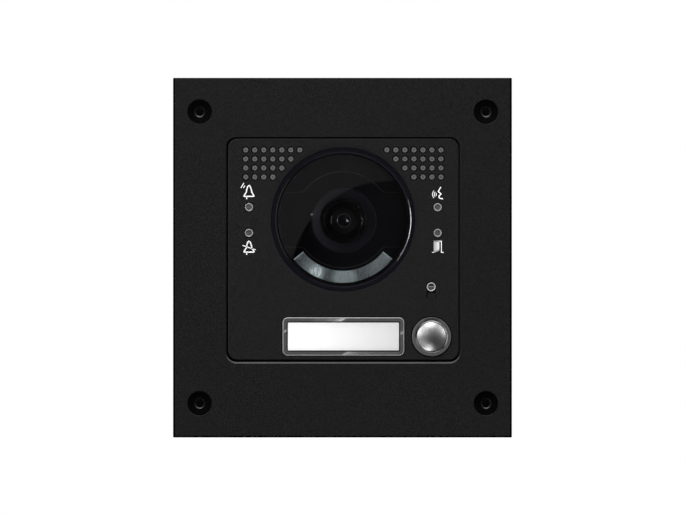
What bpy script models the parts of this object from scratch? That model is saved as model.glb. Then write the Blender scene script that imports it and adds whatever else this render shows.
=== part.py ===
"""A door entry panel: one call module with camera, speech and a call button, in a four-screw front plate.

The panel faces -Y, X runs to the right and Z up. The wall is the plane Y = 0, and the origin is the plate's
centre on that plane. All sizes are in metres.
"""

import math

import bmesh
import bpy

# Clearances
FIT = 0.0003
MODULE_GAP = 0.0005
DRAIN_GAP = 0.0005
BOARD_MARGIN = 0.0008

# Camera window, which the rest of the module's face is laid out around
WINDOW_RADIUS = 0.0319
WINDOW_TOP_MARGIN = 0.0043
WINDOW_DOME_RISE = 0.0025
WINDOW_THICKNESS = 0.002
WINDOW_RING_WIDTH = 0.0023
WINDOW_RING_PROUD = 0.0012
WINDOW_LIP = 0.001
WINDOW_FLANGE = 0.0017
FLANGE_THICKNESS = 0.0012

# Name window and its card
NAME_WIDTH = 0.0543
NAME_HEIGHT = 0.0174
NAME_CORNER = 0.0023
NAME_BORDER = 0.0024
ROW_BOTTOM_MARGIN = 0.00165
NAME_THICKNESS = 0.0022
NAME_PROUD = 0.0004
NAME_CHAMFER = 0.0005
NAME_POCKET = 0.0009
NAME_FLOOR = 0.0024
NAME_LIGHT_BORDER = 0.0016
CARD_THICKNESS = 0.0003
LIGHT_GUIDE_THICKNESS = 0.0025
LIGHT_GUIDE_LIP = 0.0016
LIGHT_GUIDE_LEG_RADIUS = 0.002
ROW_GAP = 0.01105

# Call button and its switch
BUTTON_GAP = 0.003
BUTTON_SIDE_MARGIN = 0.00355
BUTTON_RING_RADIUS = 0.0088
BUTTON_RING_WIDTH = 0.00165
BUTTON_RING_LIP = 0.00035
BUTTON_RING_PROUD = 0.0006
BUTTON_RING_HEAD = 0.0021
BUTTON_SLEEVE_WALL = 0.0008
BUTTON_SLEEVE_DEPTH = 0.0022
BUTTON_DOME_RISE = 0.0022
BUTTON_TRAVEL = 0.0012
BUTTON_FLANGE_THICKNESS = 0.001
BUTTON_POCKET_FLOOR = 0.0021
BUTTON_RIM_WALL = 0.0011
BUTTON_STEM_RADIUS = 0.0023
SWITCH_SIDE = 0.012
SWITCH_HEIGHT = 0.0033
SWITCH_BORE_FLOOR = 0.0007
PLUNGER_RADIUS = 0.00175
PLUNGER_GUIDE = 0.001
SPRING_WIRE = 0.0007
SPRING_TURNS = 5

# Light pipes with their lamps
LIGHT_PIPE_RADIUS = 0.00202
LIGHT_PIPE_OFFSET = 0.00995
LIGHT_PIPE_SPACING = 0.0114
LIGHT_PIPE_DROP = 0.0002
LIGHT_PIPE_PROUD = 0.0002
LIGHT_PIPE_COLLAR = 0.0012
LIGHT_PIPE_COLLAR_DEPTH = 0.001
STATUS_LED_WIDTH = 0.0032
STATUS_LED_DEPTH = 0.0028
STATUS_LED_HEIGHT = 0.0011
MODULE_SIDE_MARGIN = 0.00945

# Speaker openings and speakers
SPEAKER_HOLE_RADIUS = 0.00125
SPEAKER_HOLE_PITCH = 0.004
SPEAKER_HOLE_ROWS = 4
SPEAKER_HOLE_SIDE = 0.008
SPEAKER_HOLE_TOP = 0.0053
SPEAKER_HOLE_WINDOW_GAP = 0.0031
SPEAKER_WALL = 0.001
SPEAKER_POCKET_BORDER = 0.0019
SPEAKER_POCKET_WALL = 0.001
SPEAKER_MESH_THICKNESS = 0.0003
SPEAKER_RADIUS = 0.0075
SPEAKER_INSET_X = 0.0088
SPEAKER_INSET_Z = 0.0054
SPEAKER_BASKET_DEPTH = 0.0034
SPEAKER_MAGNET_RADIUS = 0.0048
SPEAKER_CONE_DEPTH = 0.0012
SPEAKER_RIM = 0.0009

# Microphone
MIC_PORT_RADIUS = 0.002235
MIC_GAP = 0.01313
MIC_PORT_RECESS = 0.0001
MIC_PORT_COLLAR = 0.0008
MIC_PORT_COLLAR_DEPTH = 0.0008
MIC_SLIT_LENGTH = 0.0032
MIC_SLIT_WIDTH = 0.0006
MIC_GROOVE_WIDTH = 0.0042
MIC_GROOVE_LENGTH = 0.0058
MIC_GROOVE_DEPTH = 0.0013
MIC_CAPSULE_RADIUS = 0.003
MIC_CAPSULE_HEIGHT = 0.0027
MIC_BOOT_WALL = 0.0011
MIC_BOOT_BORE = 0.0014
MIC_BOOT_GRIP = 0.0017

# Module body
MODULE_CORNER = 0.004
MODULE_RECESS = 0.0003
MODULE_EDGE_ROUND = 0.0003
FASCIA_THICKNESS = 0.003
FASCIA_WALL = 0.0016
FLANGE_OVERLAP = 0.003
FASCIA_FLANGE = 0.002
SEAL_WIDTH = 0.0015
SEAL_THICKNESS = 0.001
EAR_OFFSET = 0.005
EAR_RADIUS = 0.0036
EAR_SPREAD = 0.06
POST_RADIUS = 0.0029
POST_MIC_DROP = 0.007
BOARD_STAND_OFF = 0.0097
BOARD_THICKNESS = 0.0016
HOUSING_WALL = 0.002
HOUSING_DEPTH = 0.0228
HOUSING_CHAMFER = 0.001
HOUSING_STEP_DEPTH = 0.0128
HOUSING_STEP_DROP = 0.0028
COLUMN_WALL = 0.0013
COLUMN_DEPTH = 0.0041

# Camera behind the window
MASK_STEP = 0.0011
MASK_THICKNESS = 0.0012
MASK_RIM = 0.0015
MASK_PANEL_GAP = 0.0009
MASK_BAND_HALF_HEIGHT = 0.0128
MASK_LEG_RADIUS = 0.002
MASK_LEG_ANGLES = (90, -15, 195)
LENS_BEZEL_OUTER = 0.0147
LENS_BEZEL_INNER = 0.0101
LENS_BEZEL_DISH = 0.0016
LENS_BEZEL_PROUD = 0.0002
LENS_BEZEL_FLANGE = 0.0006
LENS_BEZEL_FLANGE_DEPTH = 0.001
LENS_FUNNEL = 0.001
LENS_FLANGE_DEPTH = 0.0045
LENS_TUBE_RADIUS = 0.006
LENS_TUBE_DEPTH = 0.0067
LENS_BORE = 0.0033
FRONT_LENS_RADIUS = 0.0062
FRONT_LENS_RISE = 0.0017
FRONT_LENS_EDGE = 0.0017
HOLDER_WALL = 0.0015
HOLDER_TUBE_DEPTH = 0.005
HOLDER_SIDE = 0.0174
HOLDER_BASE_DEPTH = 0.0038
SENSOR_SIDE = 0.007
SENSOR_HEIGHT = 0.0009
CAMERA_BOARD_THICKNESS = 0.0012
CAMERA_BOARD_MARGIN = 0.0026
CAMERA_POST_RADIUS = 0.0022
CAMERA_POST_ANGLE = 20
CAMERA_OPENING_MARGIN = 0.0022

# Illuminator under the lens
DIFFUSER_EDGE = 0.0008
DIFFUSER_WIDTH = 0.0055
DIFFUSER_HALF_ANGLE = 52.4
DIFFUSER_THICKNESS = 0.0012
ILLUMINATOR_SLOT_BORDER = 0.0008
ILLUMINATOR_BOARD_BORDER = 0.0006
ILLUMINATOR_BOARD_THICKNESS = 0.0012
ILLUMINATOR_LED_SIDE = 0.0028
ILLUMINATOR_LED_HEIGHT = 0.0008
ILLUMINATOR_LED_ANGLE = 30.0

# Front plate and wall gasket
PLATE_SIDE_BORDER = 0.0237
PLATE_TOP_BORDER = 0.0267
PLATE_BOTTOM_BORDER = 0.0343
PLATE_STAND_OFF = 0.007
PLATE_THICKNESS = 0.003
PLATE_CORNER = 0.0006
PLATE_EDGE_ROUND = 0.0005
PLATE_APERTURE_CHAMFER = 0.0005
SKIRT_WALL = 0.0025
GASKET_INNER_GAP = 0.0008

# Screws: the four that fix the panel, and the small ones that hold it together
FIXING_SIDE = 0.0115
FIXING_TOP = 0.01505
FIXING_RADIUS = 0.0025
FIXING_LENGTH = 0.025
FIXING_SINK_RADIUS = 0.0054
FIXING_SINK_RECESS = 0.0004
FIXING_BOSS_WALL = 0.0034
FIXING_BOSS_GAP = 0.0006
FIXING_SOCKET_RADIUS = 0.0023
FIXING_SOCKET_LOBE = 0.0003
FIXING_SOCKET_DEPTH = 0.0019
SOCKET_LOBES = 6
SCREW_RADIUS = 0.0015
SCREW_HEAD_RADIUS = 0.0028
SCREW_HEAD_HEIGHT = 0.0021
SCREW_HEAD_TAPER = 0.35
SCREW_SLOT_WIDTH = 0.0008
SCREW_SLOT_DEPTH = 0.0009
SCREW_BOSS_RADIUS = 0.0026
SCREW_PILOT_SKIN = 0.0014
CAMERA_SCREW_RADIUS = 0.001
CAMERA_SCREW_HEAD_RADIUS = 0.0019
CAMERA_SCREW_HEAD_HEIGHT = 0.0013
CAMERA_SCREW_GRIP = 0.005
HOUSING_SCREW_GRIP = 0.006

# Terminal block at the back
TERMINAL_WAYS = 8
TERMINAL_PITCH = 0.00508
TERMINAL_END = 0.0015
TERMINAL_HEIGHT = 0.0108
TERMINAL_DEPTH = 0.0145
TERMINAL_ENTRY = 0.0034
TERMINAL_ENTRY_DEPTH = 0.005
TERMINAL_ENTRY_INSET = 0.0033
TERMINAL_DRIVE_RADIUS = 0.0017
TERMINAL_DRIVE_DEPTH = 0.0025
TERMINAL_DRIVE_INSET = 0.0026

# Fineness of the round faces, and what the shapes are cut and joined with
FINE_STEPS = 36
HIDDEN_STEPS = 20
ROUND_STEPS = 16
SMALL_STEPS = 12
HOLE_STEPS = 8
CORNER_STEPS = 3
EDGE_STEPS = 2
DOME_STEPS = 3
SPRING_STEPS = 8
OVERRUN = 0.001
ROOT = 0.0003
SMALLEST_CORNER = 0.0001
WELD = 0.0000001
SMOOTH_ANGLE = math.radians(35)

# Places across the face, worked out from the window and the row under it
CAMERA_ROW_HALF = WINDOW_RADIUS + LIGHT_PIPE_OFFSET + MODULE_SIDE_MARGIN
BUTTON_X = NAME_WIDTH / 2 + BUTTON_GAP + BUTTON_RING_RADIUS
MODULE_HALF = max(CAMERA_ROW_HALF, BUTTON_X + BUTTON_RING_RADIUS + BUTTON_SIDE_MARGIN)
MODULE_WIDTH = 2 * MODULE_HALF
ROW_HALF = max(NAME_HEIGHT / 2, BUTTON_RING_RADIUS)
MODULE_HEIGHT = ROW_BOTTOM_MARGIN + 2 * ROW_HALF + ROW_GAP + 2 * WINDOW_RADIUS + WINDOW_TOP_MARGIN
PLATE_WIDTH = MODULE_WIDTH + 2 * PLATE_SIDE_BORDER
PLATE_HEIGHT = PLATE_TOP_BORDER + MODULE_HEIGHT + PLATE_BOTTOM_BORDER
MODULE_BOTTOM = PLATE_BOTTOM_BORDER - PLATE_HEIGHT / 2
MODULE_TOP = MODULE_BOTTOM + MODULE_HEIGHT
MODULE_Z = (MODULE_TOP + MODULE_BOTTOM) / 2
CAMERA_Z = MODULE_TOP - WINDOW_TOP_MARGIN - WINDOW_RADIUS
ROW_Z = MODULE_BOTTOM + ROW_BOTTOM_MARGIN + ROW_HALF
MIC_Z = ROW_Z + BUTTON_RING_RADIUS + MIC_GAP
LIGHT_PIPE_X = WINDOW_RADIUS + LIGHT_PIPE_OFFSET
LIGHT_PIPE_UPPER_Z = CAMERA_Z - LIGHT_PIPE_DROP + LIGHT_PIPE_SPACING / 2
LIGHT_PIPE_LOWER_Z = LIGHT_PIPE_UPPER_Z - LIGHT_PIPE_SPACING
SPEAKER_COLUMN_X = MODULE_HALF - SPEAKER_HOLE_SIDE
SPEAKER_ROW_Z = MODULE_TOP - SPEAKER_HOLE_TOP
SPEAKER_LAST_ROW_Z = SPEAKER_ROW_Z - (SPEAKER_HOLE_ROWS - 1) * SPEAKER_HOLE_PITCH
POST_X = MODULE_HALF - HOUSING_WALL - FIT - POST_RADIUS
POST_UPPER_Z = (SPEAKER_LAST_ROW_Z + LIGHT_PIPE_UPPER_Z) / 2
POST_LOWER_Z = MIC_Z - POST_MIC_DROP
FIXING_X = PLATE_WIDTH / 2 - FIXING_SIDE
FIXING_Z = PLATE_HEIGHT / 2 - FIXING_TOP
EAR_X = MODULE_HALF + MODULE_GAP + EAR_OFFSET

# Places through the depth, from the front to the back
PLATE_FRONT = -PLATE_STAND_OFF
PLATE_REAR = PLATE_FRONT + PLATE_THICKNESS
FASCIA_FRONT = PLATE_FRONT + MODULE_RECESS
FASCIA_REAR = FASCIA_FRONT + FASCIA_THICKNESS
SEAL_FRONT = PLATE_REAR + FIT
FLANGE_FRONT = SEAL_FRONT + SEAL_THICKNESS + FIT
FLANGE_REAR = FLANGE_FRONT + FASCIA_FLANGE
HOUSING_SEAL_FRONT = FLANGE_REAR + FIT
HOUSING_FRONT = HOUSING_SEAL_FRONT + SEAL_THICKNESS + FIT
HOUSING_REAR = HOUSING_FRONT + HOUSING_DEPTH
HOUSING_STEP_REAR = HOUSING_FRONT + HOUSING_STEP_DEPTH
HOUSING_STEP_Z = POST_LOWER_Z - SCREW_HEAD_RADIUS - FIT - COLUMN_WALL - HOUSING_STEP_DROP
BOARD_FRONT = FASCIA_REAR + BOARD_STAND_OFF
BOARD_REAR = BOARD_FRONT + BOARD_THICKNESS
SEAT_FRONT = BOARD_FRONT - FIT
COLUMN_FRONT = BOARD_REAR + FIT
COLUMN_SEAT = COLUMN_FRONT + COLUMN_DEPTH
BEHIND_FASCIA = FASCIA_REAR + FIT
RING_FRONT = FASCIA_FRONT - WINDOW_RING_PROUD
RING_REAR = BEHIND_FASCIA + FLANGE_THICKNESS
WINDOW_RIM_FRONT = RING_FRONT + WINDOW_LIP + FIT
WINDOW_RIM_REAR = WINDOW_RIM_FRONT + WINDOW_THICKNESS
MASK_BASE_FRONT = RING_REAR + FIT
MASK_FRONT = MASK_BASE_FRONT - MASK_STEP
MASK_REAR = MASK_BASE_FRONT + MASK_THICKNESS

# Radii of the camera's nested rings
RING_OUTER = WINDOW_RADIUS - FIT
RING_INNER = RING_OUTER - WINDOW_RING_WIDTH
WINDOW_SEAT = RING_INNER + WINDOW_LIP
WINDOW_RIM = WINDOW_SEAT - FIT
WINDOW_CLEAR = RING_INNER - FIT
FLANGE_OUTER = WINDOW_RADIUS + WINDOW_FLANGE
MASK_POCKET_OUTER = WINDOW_RIM - MASK_RIM
DIFFUSER_OUTER = MASK_POCKET_OUTER - DIFFUSER_EDGE
DIFFUSER_INNER = DIFFUSER_OUTER - DIFFUSER_WIDTH
MASK_PANEL_RADIUS = DIFFUSER_INNER - MASK_PANEL_GAP
BEZEL_FLANGE_RADIUS = LENS_BEZEL_OUTER + FIT + LENS_BEZEL_FLANGE
CAMERA_POST_CIRCLE = BEZEL_FLANGE_RADIUS + FIT + CAMERA_POST_RADIUS
CAMERA_OPENING = CAMERA_POST_CIRCLE + CAMERA_POST_RADIUS + CAMERA_OPENING_MARGIN
MASK_LEG_CIRCLE = CAMERA_OPENING + FIT + MASK_LEG_RADIUS + BOARD_MARGIN

CORNERS = {
    "upper_left": (-1, 1),
    "upper_right": (1, 1),
    "lower_left": (-1, -1),
    "lower_right": (1, -1),
}
SIDES = {"left": -1, "right": 1}
QUADRANTS = ((1, 1), (-1, 1), (-1, -1), (1, -1))


def material(name, colour, roughness, metallic=0.0):
    """A plain Principled finish, made once for each name."""
    found = bpy.data.materials.get(name)
    if found:
        return found
    made = bpy.data.materials.new(name)
    made.use_nodes = True
    shader = made.node_tree.nodes["Principled BSDF"]
    shader.inputs["Base Color"].default_value = (*colour, 1.0)
    shader.inputs["Roughness"].default_value = roughness
    shader.inputs["Metallic"].default_value = metallic
    return made


def plate_paint():
    return material("plate_paint", (0.014, 0.014, 0.014), 0.55)


def fascia_plastic():
    return material("fascia_plastic", (0.015, 0.015, 0.015), 0.5)


def gloss_black():
    return material("gloss_black", (0.004, 0.004, 0.006), 0.08)


def matt_black():
    return material("matt_black", (0.006, 0.006, 0.007), 0.7)


def rubber():
    return material("rubber", (0.02, 0.02, 0.02), 0.85)


def clear_plastic():
    return material("clear_plastic", (0.85, 0.87, 0.88), 0.05)


def frosted_plastic():
    return material("frosted_plastic", (0.45, 0.46, 0.47), 0.4)


def steel():
    return material("steel", (0.6, 0.6, 0.6), 0.3, 1.0)


def black_steel():
    return material("black_steel", (0.02, 0.02, 0.02), 0.4, 1.0)


def chrome():
    return material("chrome", (0.85, 0.85, 0.86), 0.06, 1.0)


def circuit_board():
    return material("circuit_board", (0.02, 0.13, 0.05), 0.5)


def white_part():
    return material("white_part", (0.85, 0.85, 0.83), 0.5)


def arc(radius, start, end, steps, center=(0.0, 0.0)):
    """Points on a circle from one angle to another, in degrees, both ends included."""
    angles = [math.radians(start + (end - start) * i / steps) for i in range(steps + 1)]
    return [(center[0] + radius * math.cos(a), center[1] + radius * math.sin(a)) for a in angles]


def circle(radius, steps, center=(0.0, 0.0)):
    return arc(radius, 0, 360, steps, center)[:-1]


def rounded_rectangle(width, height, corner, center=(0.0, 0.0)):
    """A rectangle with arcs for corners, which never pass half of its sides."""
    corner = max(corner, SMALLEST_CORNER)
    corner = min(corner, width / 2 - WELD, height / 2 - WELD)
    inner_x = width / 2 - corner
    inner_z = height / 2 - corner
    points = []
    for quarter, (x, z) in enumerate(QUADRANTS):
        middle = (center[0] + x * inner_x, center[1] + z * inner_z)
        points += arc(corner, 90 * quarter, 90 * quarter + 90, CORNER_STEPS, middle)
    return points


def rectangle(width, height, center=(0.0, 0.0)):
    half_x = width / 2
    half_z = height / 2
    return [(center[0] + x * half_x, center[1] + z * half_z) for x, z in QUADRANTS]


def ring_sector(inner, outer, half_angle, steps):
    """Part of a flat ring, centred straight below its axis."""
    outside = arc(outer, -90 - half_angle, -90 + half_angle, steps)
    inside = arc(inner, -90 + half_angle, -90 - half_angle, steps)
    return outside + inside


def module_outline(offset):
    """The module's outline, grown outwards by the offset."""
    width = MODULE_WIDTH + 2 * offset
    height = MODULE_HEIGHT + 2 * offset
    return rounded_rectangle(width, height, MODULE_CORNER + offset, (0, MODULE_Z))


def aperture_outline(offset):
    """The plate's opening, which leaves a wider gap under the module for water to run out."""
    grown = MODULE_GAP + offset
    width = MODULE_WIDTH + 2 * grown
    height = MODULE_HEIGHT + 2 * grown + DRAIN_GAP
    return rounded_rectangle(width, height, MODULE_CORNER + grown, (0, MODULE_Z - DRAIN_GAP / 2))


def lofted(sections, bm=None):
    """A solid through (y, outline) sections whose outlines have the same number of (x, z) points."""
    bm = bm or bmesh.new()
    rings = [[bm.verts.new((x, y, z)) for x, z in outline] for y, outline in sections]
    for near, far in zip(rings, rings[1:]):
        for i in range(len(near)):
            bm.faces.new((near[i - 1], near[i], far[i], far[i - 1]))
    bm.faces.new(rings[0])
    bm.faces.new(rings[-1])
    return bm


def prism(outline, near, far, bm=None):
    return lofted([(near, outline), (far, outline)], bm)


def turned(profile, steps, center=(0.0, 0.0), bm=None):
    """A solid of revolution about a line along Y, from a profile of (radius, y) points.

    A profile that starts and ends on the line makes a full solid, and any other makes a ring.
    """
    bm = bm or bmesh.new()
    verts = [bm.verts.new((center[0] + radius, y, center[1])) for radius, y in profile]
    full = profile[0][0] == 0 and profile[-1][0] == 0
    edges = [bm.edges.new(pair) for pair in zip(verts, verts[1:])]
    if not full:
        edges.append(bm.edges.new((verts[-1], verts[0])))
    bmesh.ops.spin(
        bm,
        geom=verts + edges,
        cent=(center[0], 0, center[1]),
        axis=(0, 1, 0),
        angle=2 * math.pi,
        steps=steps,
        use_merge=True,
    )
    bmesh.ops.remove_doubles(bm, verts=bm.verts[:], dist=WELD)
    return bm


def dome(radius, edge, rise, steps):
    """Profile points of a shallow dome towards -Y, from its edge to the point on its axis."""
    curve = (radius**2 + rise**2) / (2 * rise)
    middle = edge - rise + curve
    widest = math.asin(min(1.0, radius / curve))
    angles = [widest * (1 - i / steps) for i in range(steps + 1)]
    points = [(curve * math.sin(a), middle - curve * math.cos(a)) for a in angles]
    return points[:-1] + [(0, edge - rise)]


def finish(obj):
    obj.data.shade_smooth()
    obj.data.set_sharp_from_angle(angle=SMOOTH_ANGLE)
    return obj


def solid(name, bm, look, parent):
    """A new object of this name from a bmesh, facing outwards."""
    bmesh.ops.recalc_face_normals(bm, faces=bm.faces[:])
    mesh = bpy.data.meshes.new(name)
    bm.to_mesh(mesh)
    bm.free()
    mesh.materials.append(look)
    obj = bpy.data.objects.new(name, mesh)
    bpy.context.scene.collection.objects.link(obj)
    obj.parent = parent
    return finish(obj)


def combine(obj, bm, operation):
    """Joins another shape to the object or cuts it away, and keeps the result as the object's mesh."""
    tool = solid(obj.name + "_tool", bm, obj.data.materials[0], obj.parent)
    tool.location = obj.location
    modifier = obj.modifiers.new(operation, "BOOLEAN")
    modifier.operation = operation
    modifier.object = tool
    graph = bpy.context.evaluated_depsgraph_get()
    result = bpy.data.meshes.new_from_object(obj.evaluated_get(graph))
    obj.modifiers.clear()
    obj.data = result
    bpy.data.objects.remove(tool)
    return finish(obj)


def cut(obj, bm):
    return combine(obj, bm, "DIFFERENCE")


def join(obj, bm):
    return combine(obj, bm, "UNION")


def copies(first, places):
    """Places the first object and copies of it that share its mesh, by name."""
    for i, (name, place) in enumerate(places.items()):
        obj = first if i == 0 else first.copy()
        obj.name = name
        obj.location = place
        if i:
            bpy.context.scene.collection.objects.link(obj)


def empty(name, place, parent=None):
    obj = bpy.data.objects.new(name, None)
    obj.empty_display_size = FIXING_SIDE
    obj.location = place
    obj.parent = parent
    bpy.context.scene.collection.objects.link(obj)
    return obj


def rounded_front(outline, front, edge):
    """Sections that round off an outline's front edge; the outline is a function of its offset."""
    turns = [math.pi / 2 * i / EDGE_STEPS for i in range(EDGE_STEPS + 1)]
    return [(front + edge * (1 - math.cos(a)), outline(edge * (math.sin(a) - 1))) for a in turns]


def ear_places():
    return {name: (x * EAR_X, MODULE_Z + z * EAR_SPREAD / 2) for name, (x, z) in CORNERS.items()}


def fixing_places():
    return {name: (x * FIXING_X, z * FIXING_Z) for name, (x, z) in CORNERS.items()}


def post_places():
    heights = {1: POST_UPPER_Z, -1: POST_LOWER_Z}
    return {name: (x * POST_X, heights[z]) for name, (x, z) in CORNERS.items()}


def light_pipe_places():
    heights = {1: LIGHT_PIPE_UPPER_Z, -1: LIGHT_PIPE_LOWER_Z}
    return {name: (x * LIGHT_PIPE_X, heights[z]) for name, (x, z) in CORNERS.items()}


def speaker_hole_places():
    """A grid from each upper corner of the module, as far as the camera window leaves room."""
    clear = WINDOW_RADIUS + SPEAKER_HOLE_WINDOW_GAP
    places = []
    for row in range(SPEAKER_HOLE_ROWS):
        z = SPEAKER_ROW_Z - row * SPEAKER_HOLE_PITCH
        x = SPEAKER_COLUMN_X
        while x > SPEAKER_HOLE_PITCH / 2 and math.hypot(x, z - CAMERA_Z) >= clear:
            places += [(-x, z), (x, z)]
            x -= SPEAKER_HOLE_PITCH
    return places


def speaker_field(side, inset):
    """The outline of the pocket behind a field of speaker holes, drawn in by the inset."""
    holes = [(x, z) for x, z in speaker_hole_places() if x > 0]
    border = SPEAKER_POCKET_BORDER - inset
    right = max(x for x, z in holes) + border
    left = min(x for x, z in holes) - border
    top = SPEAKER_ROW_Z + border
    bottom = SPEAKER_LAST_ROW_Z - border
    clear = WINDOW_RADIUS + SPEAKER_POCKET_WALL + inset
    high = math.degrees(math.acos(left / clear))
    low = math.degrees(math.asin((bottom - CAMERA_Z) / clear))
    points = [(right, bottom), (right, top), (left, top)]
    points += arc(clear, high, low, 2 * CORNER_STEPS, (0, CAMERA_Z))
    return [(side * x, z) for x, z in points]


def make_front_plate(panel):
    def outline(offset):
        width = PLATE_WIDTH + 2 * offset
        height = PLATE_HEIGHT + 2 * offset
        return rounded_rectangle(width, height, PLATE_CORNER + offset)

    sections = rounded_front(outline, PLATE_FRONT, PLATE_EDGE_ROUND)
    plate = solid("front_plate", lofted(sections + [(-FIT, outline(0))]), plate_paint(), panel)
    cut(plate, prism(outline(-SKIRT_WALL), PLATE_REAR, OVERRUN))

    bosses = bmesh.new()
    for place in fixing_places().values():
        wide = circle(FIXING_RADIUS + FIXING_BOSS_WALL, ROUND_STEPS, place)
        prism(wide, PLATE_REAR - ROOT, -FIXING_BOSS_GAP, bosses)
    for place in ear_places().values():
        narrow = circle(SCREW_BOSS_RADIUS, SMALL_STEPS, place)
        prism(narrow, PLATE_REAR - ROOT, FLANGE_FRONT - FIT, bosses)
    join(plate, bosses)

    openings = lofted(
        [
            (PLATE_FRONT - OVERRUN, aperture_outline(PLATE_APERTURE_CHAMFER + OVERRUN)),
            (PLATE_FRONT + PLATE_APERTURE_CHAMFER, aperture_outline(0)),
            (PLATE_REAR + OVERRUN, aperture_outline(0)),
        ]
    )
    hole = FIXING_RADIUS + FIT
    sink = [
        (0, PLATE_FRONT - OVERRUN),
        (FIXING_SINK_RADIUS + OVERRUN, PLATE_FRONT - OVERRUN),
        (hole, PLATE_FRONT + FIXING_SINK_RADIUS - hole),
        (hole, OVERRUN),
        (0, OVERRUN),
    ]
    for place in fixing_places().values():
        turned(sink, ROUND_STEPS, place, openings)
    for place in ear_places().values():
        pilot = circle(SCREW_RADIUS + FIT, HOLE_STEPS, place)
        prism(pilot, PLATE_FRONT + SCREW_PILOT_SKIN, 0, openings)
    cut(plate, openings)


def make_wall_gasket(panel):
    inset = SKIRT_WALL + FIT
    sheet = rounded_rectangle(PLATE_WIDTH - 2 * inset, PLATE_HEIGHT - 2 * inset, PLATE_CORNER)
    gasket = solid("wall_gasket", prism(sheet, PLATE_REAR + FIT, 0), rubber(), panel)
    side = EAR_X + EAR_RADIUS + GASKET_INNER_GAP
    height = MODULE_HEIGHT + 2 * (MODULE_GAP + FLANGE_OVERLAP + GASKET_INNER_GAP) + DRAIN_GAP
    middle = (0, MODULE_Z - DRAIN_GAP / 2)
    window = rounded_rectangle(2 * side, height, MODULE_CORNER + FLANGE_OVERLAP, middle)
    cut(gasket, prism(window, PLATE_FRONT, OVERRUN))
    holes = bmesh.new()
    for place in fixing_places().values():
        clear = circle(FIXING_RADIUS + FIXING_BOSS_WALL + FIT, ROUND_STEPS, place)
        prism(clear, PLATE_FRONT, OVERRUN, holes)
    cut(gasket, holes)


def make_fixing_screws(panel):
    front = PLATE_FRONT + FIXING_SINK_RECESS
    head = FIXING_SINK_RADIUS - FIXING_SINK_RECESS - FIT * math.sqrt(2)
    tip = front + FIXING_LENGTH
    point = FIXING_RADIUS / 2
    profile = [
        (0, front),
        (head, front),
        (FIXING_RADIUS, front + head - FIXING_RADIUS),
        (FIXING_RADIUS, tip - point),
        (FIXING_RADIUS - point, tip),
        (0, tip),
    ]
    screw = solid("fixing_screw", turned(profile, SMALL_STEPS), black_steel(), panel)
    mean = FIXING_SOCKET_RADIUS - FIXING_SOCKET_LOBE
    angles = [math.pi * i / SOCKET_LOBES for i in range(2 * SOCKET_LOBES)]
    radii = [mean + FIXING_SOCKET_LOBE * math.cos(SOCKET_LOBES * a) for a in angles]
    star = [(r * math.cos(a), r * math.sin(a)) for r, a in zip(radii, angles)]
    cut(screw, prism(star, front - OVERRUN, front + FIXING_SOCKET_DEPTH))
    copies(screw, {f"fixing_screw_{name}": (x, 0, z) for name, (x, z) in fixing_places().items()})


def small_screw(name, radius, head_radius, head_height, seat, length, parent):
    """A pan head screw driven from behind: its head sits at the seat, and its shank runs forward."""
    rear = seat + head_height
    profile = [
        (0, seat - length),
        (radius, seat - length),
        (radius, seat),
        (head_radius, seat),
        (head_radius - SCREW_HEAD_TAPER * head_height, rear),
        (0, rear),
    ]
    screw = solid(name, turned(profile, SMALL_STEPS), steel(), parent)
    slot = rectangle(2 * (head_radius + OVERRUN), SCREW_SLOT_WIDTH * radius / SCREW_RADIUS)
    depth = min(SCREW_SLOT_DEPTH, head_height / 2)
    return cut(screw, prism(slot, rear - depth, rear + OVERRUN))


def make_module_screws(panel):
    seat = FLANGE_REAR + FIT
    length = seat - (PLATE_FRONT + SCREW_PILOT_SKIN + FIT)
    screw = small_screw(
        "module_screw", SCREW_RADIUS, SCREW_HEAD_RADIUS, SCREW_HEAD_HEIGHT, seat, length, panel
    )
    copies(screw, {f"module_screw_{name}": (x, 0, z) for name, (x, z) in ear_places().items()})


def make_housing_screws(panel):
    seat = COLUMN_SEAT + FIT
    length = seat - SEAT_FRONT + HOUSING_SCREW_GRIP
    screw = small_screw(
        "housing_screw", SCREW_RADIUS, SCREW_HEAD_RADIUS, SCREW_HEAD_HEIGHT, seat, length, panel
    )
    copies(screw, {f"housing_screw_{name}": (x, 0, z) for name, (x, z) in post_places().items()})


def fascia_floor():
    """How far back the name window's recess goes."""
    return FASCIA_FRONT - NAME_PROUD + NAME_THICKNESS + FIT


def name_opening():
    """Width and height of the opening that lights the card from behind."""
    inset = 2 * (NAME_BORDER + NAME_LIGHT_BORDER)
    return NAME_WIDTH - inset, NAME_HEIGHT - inset


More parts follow.
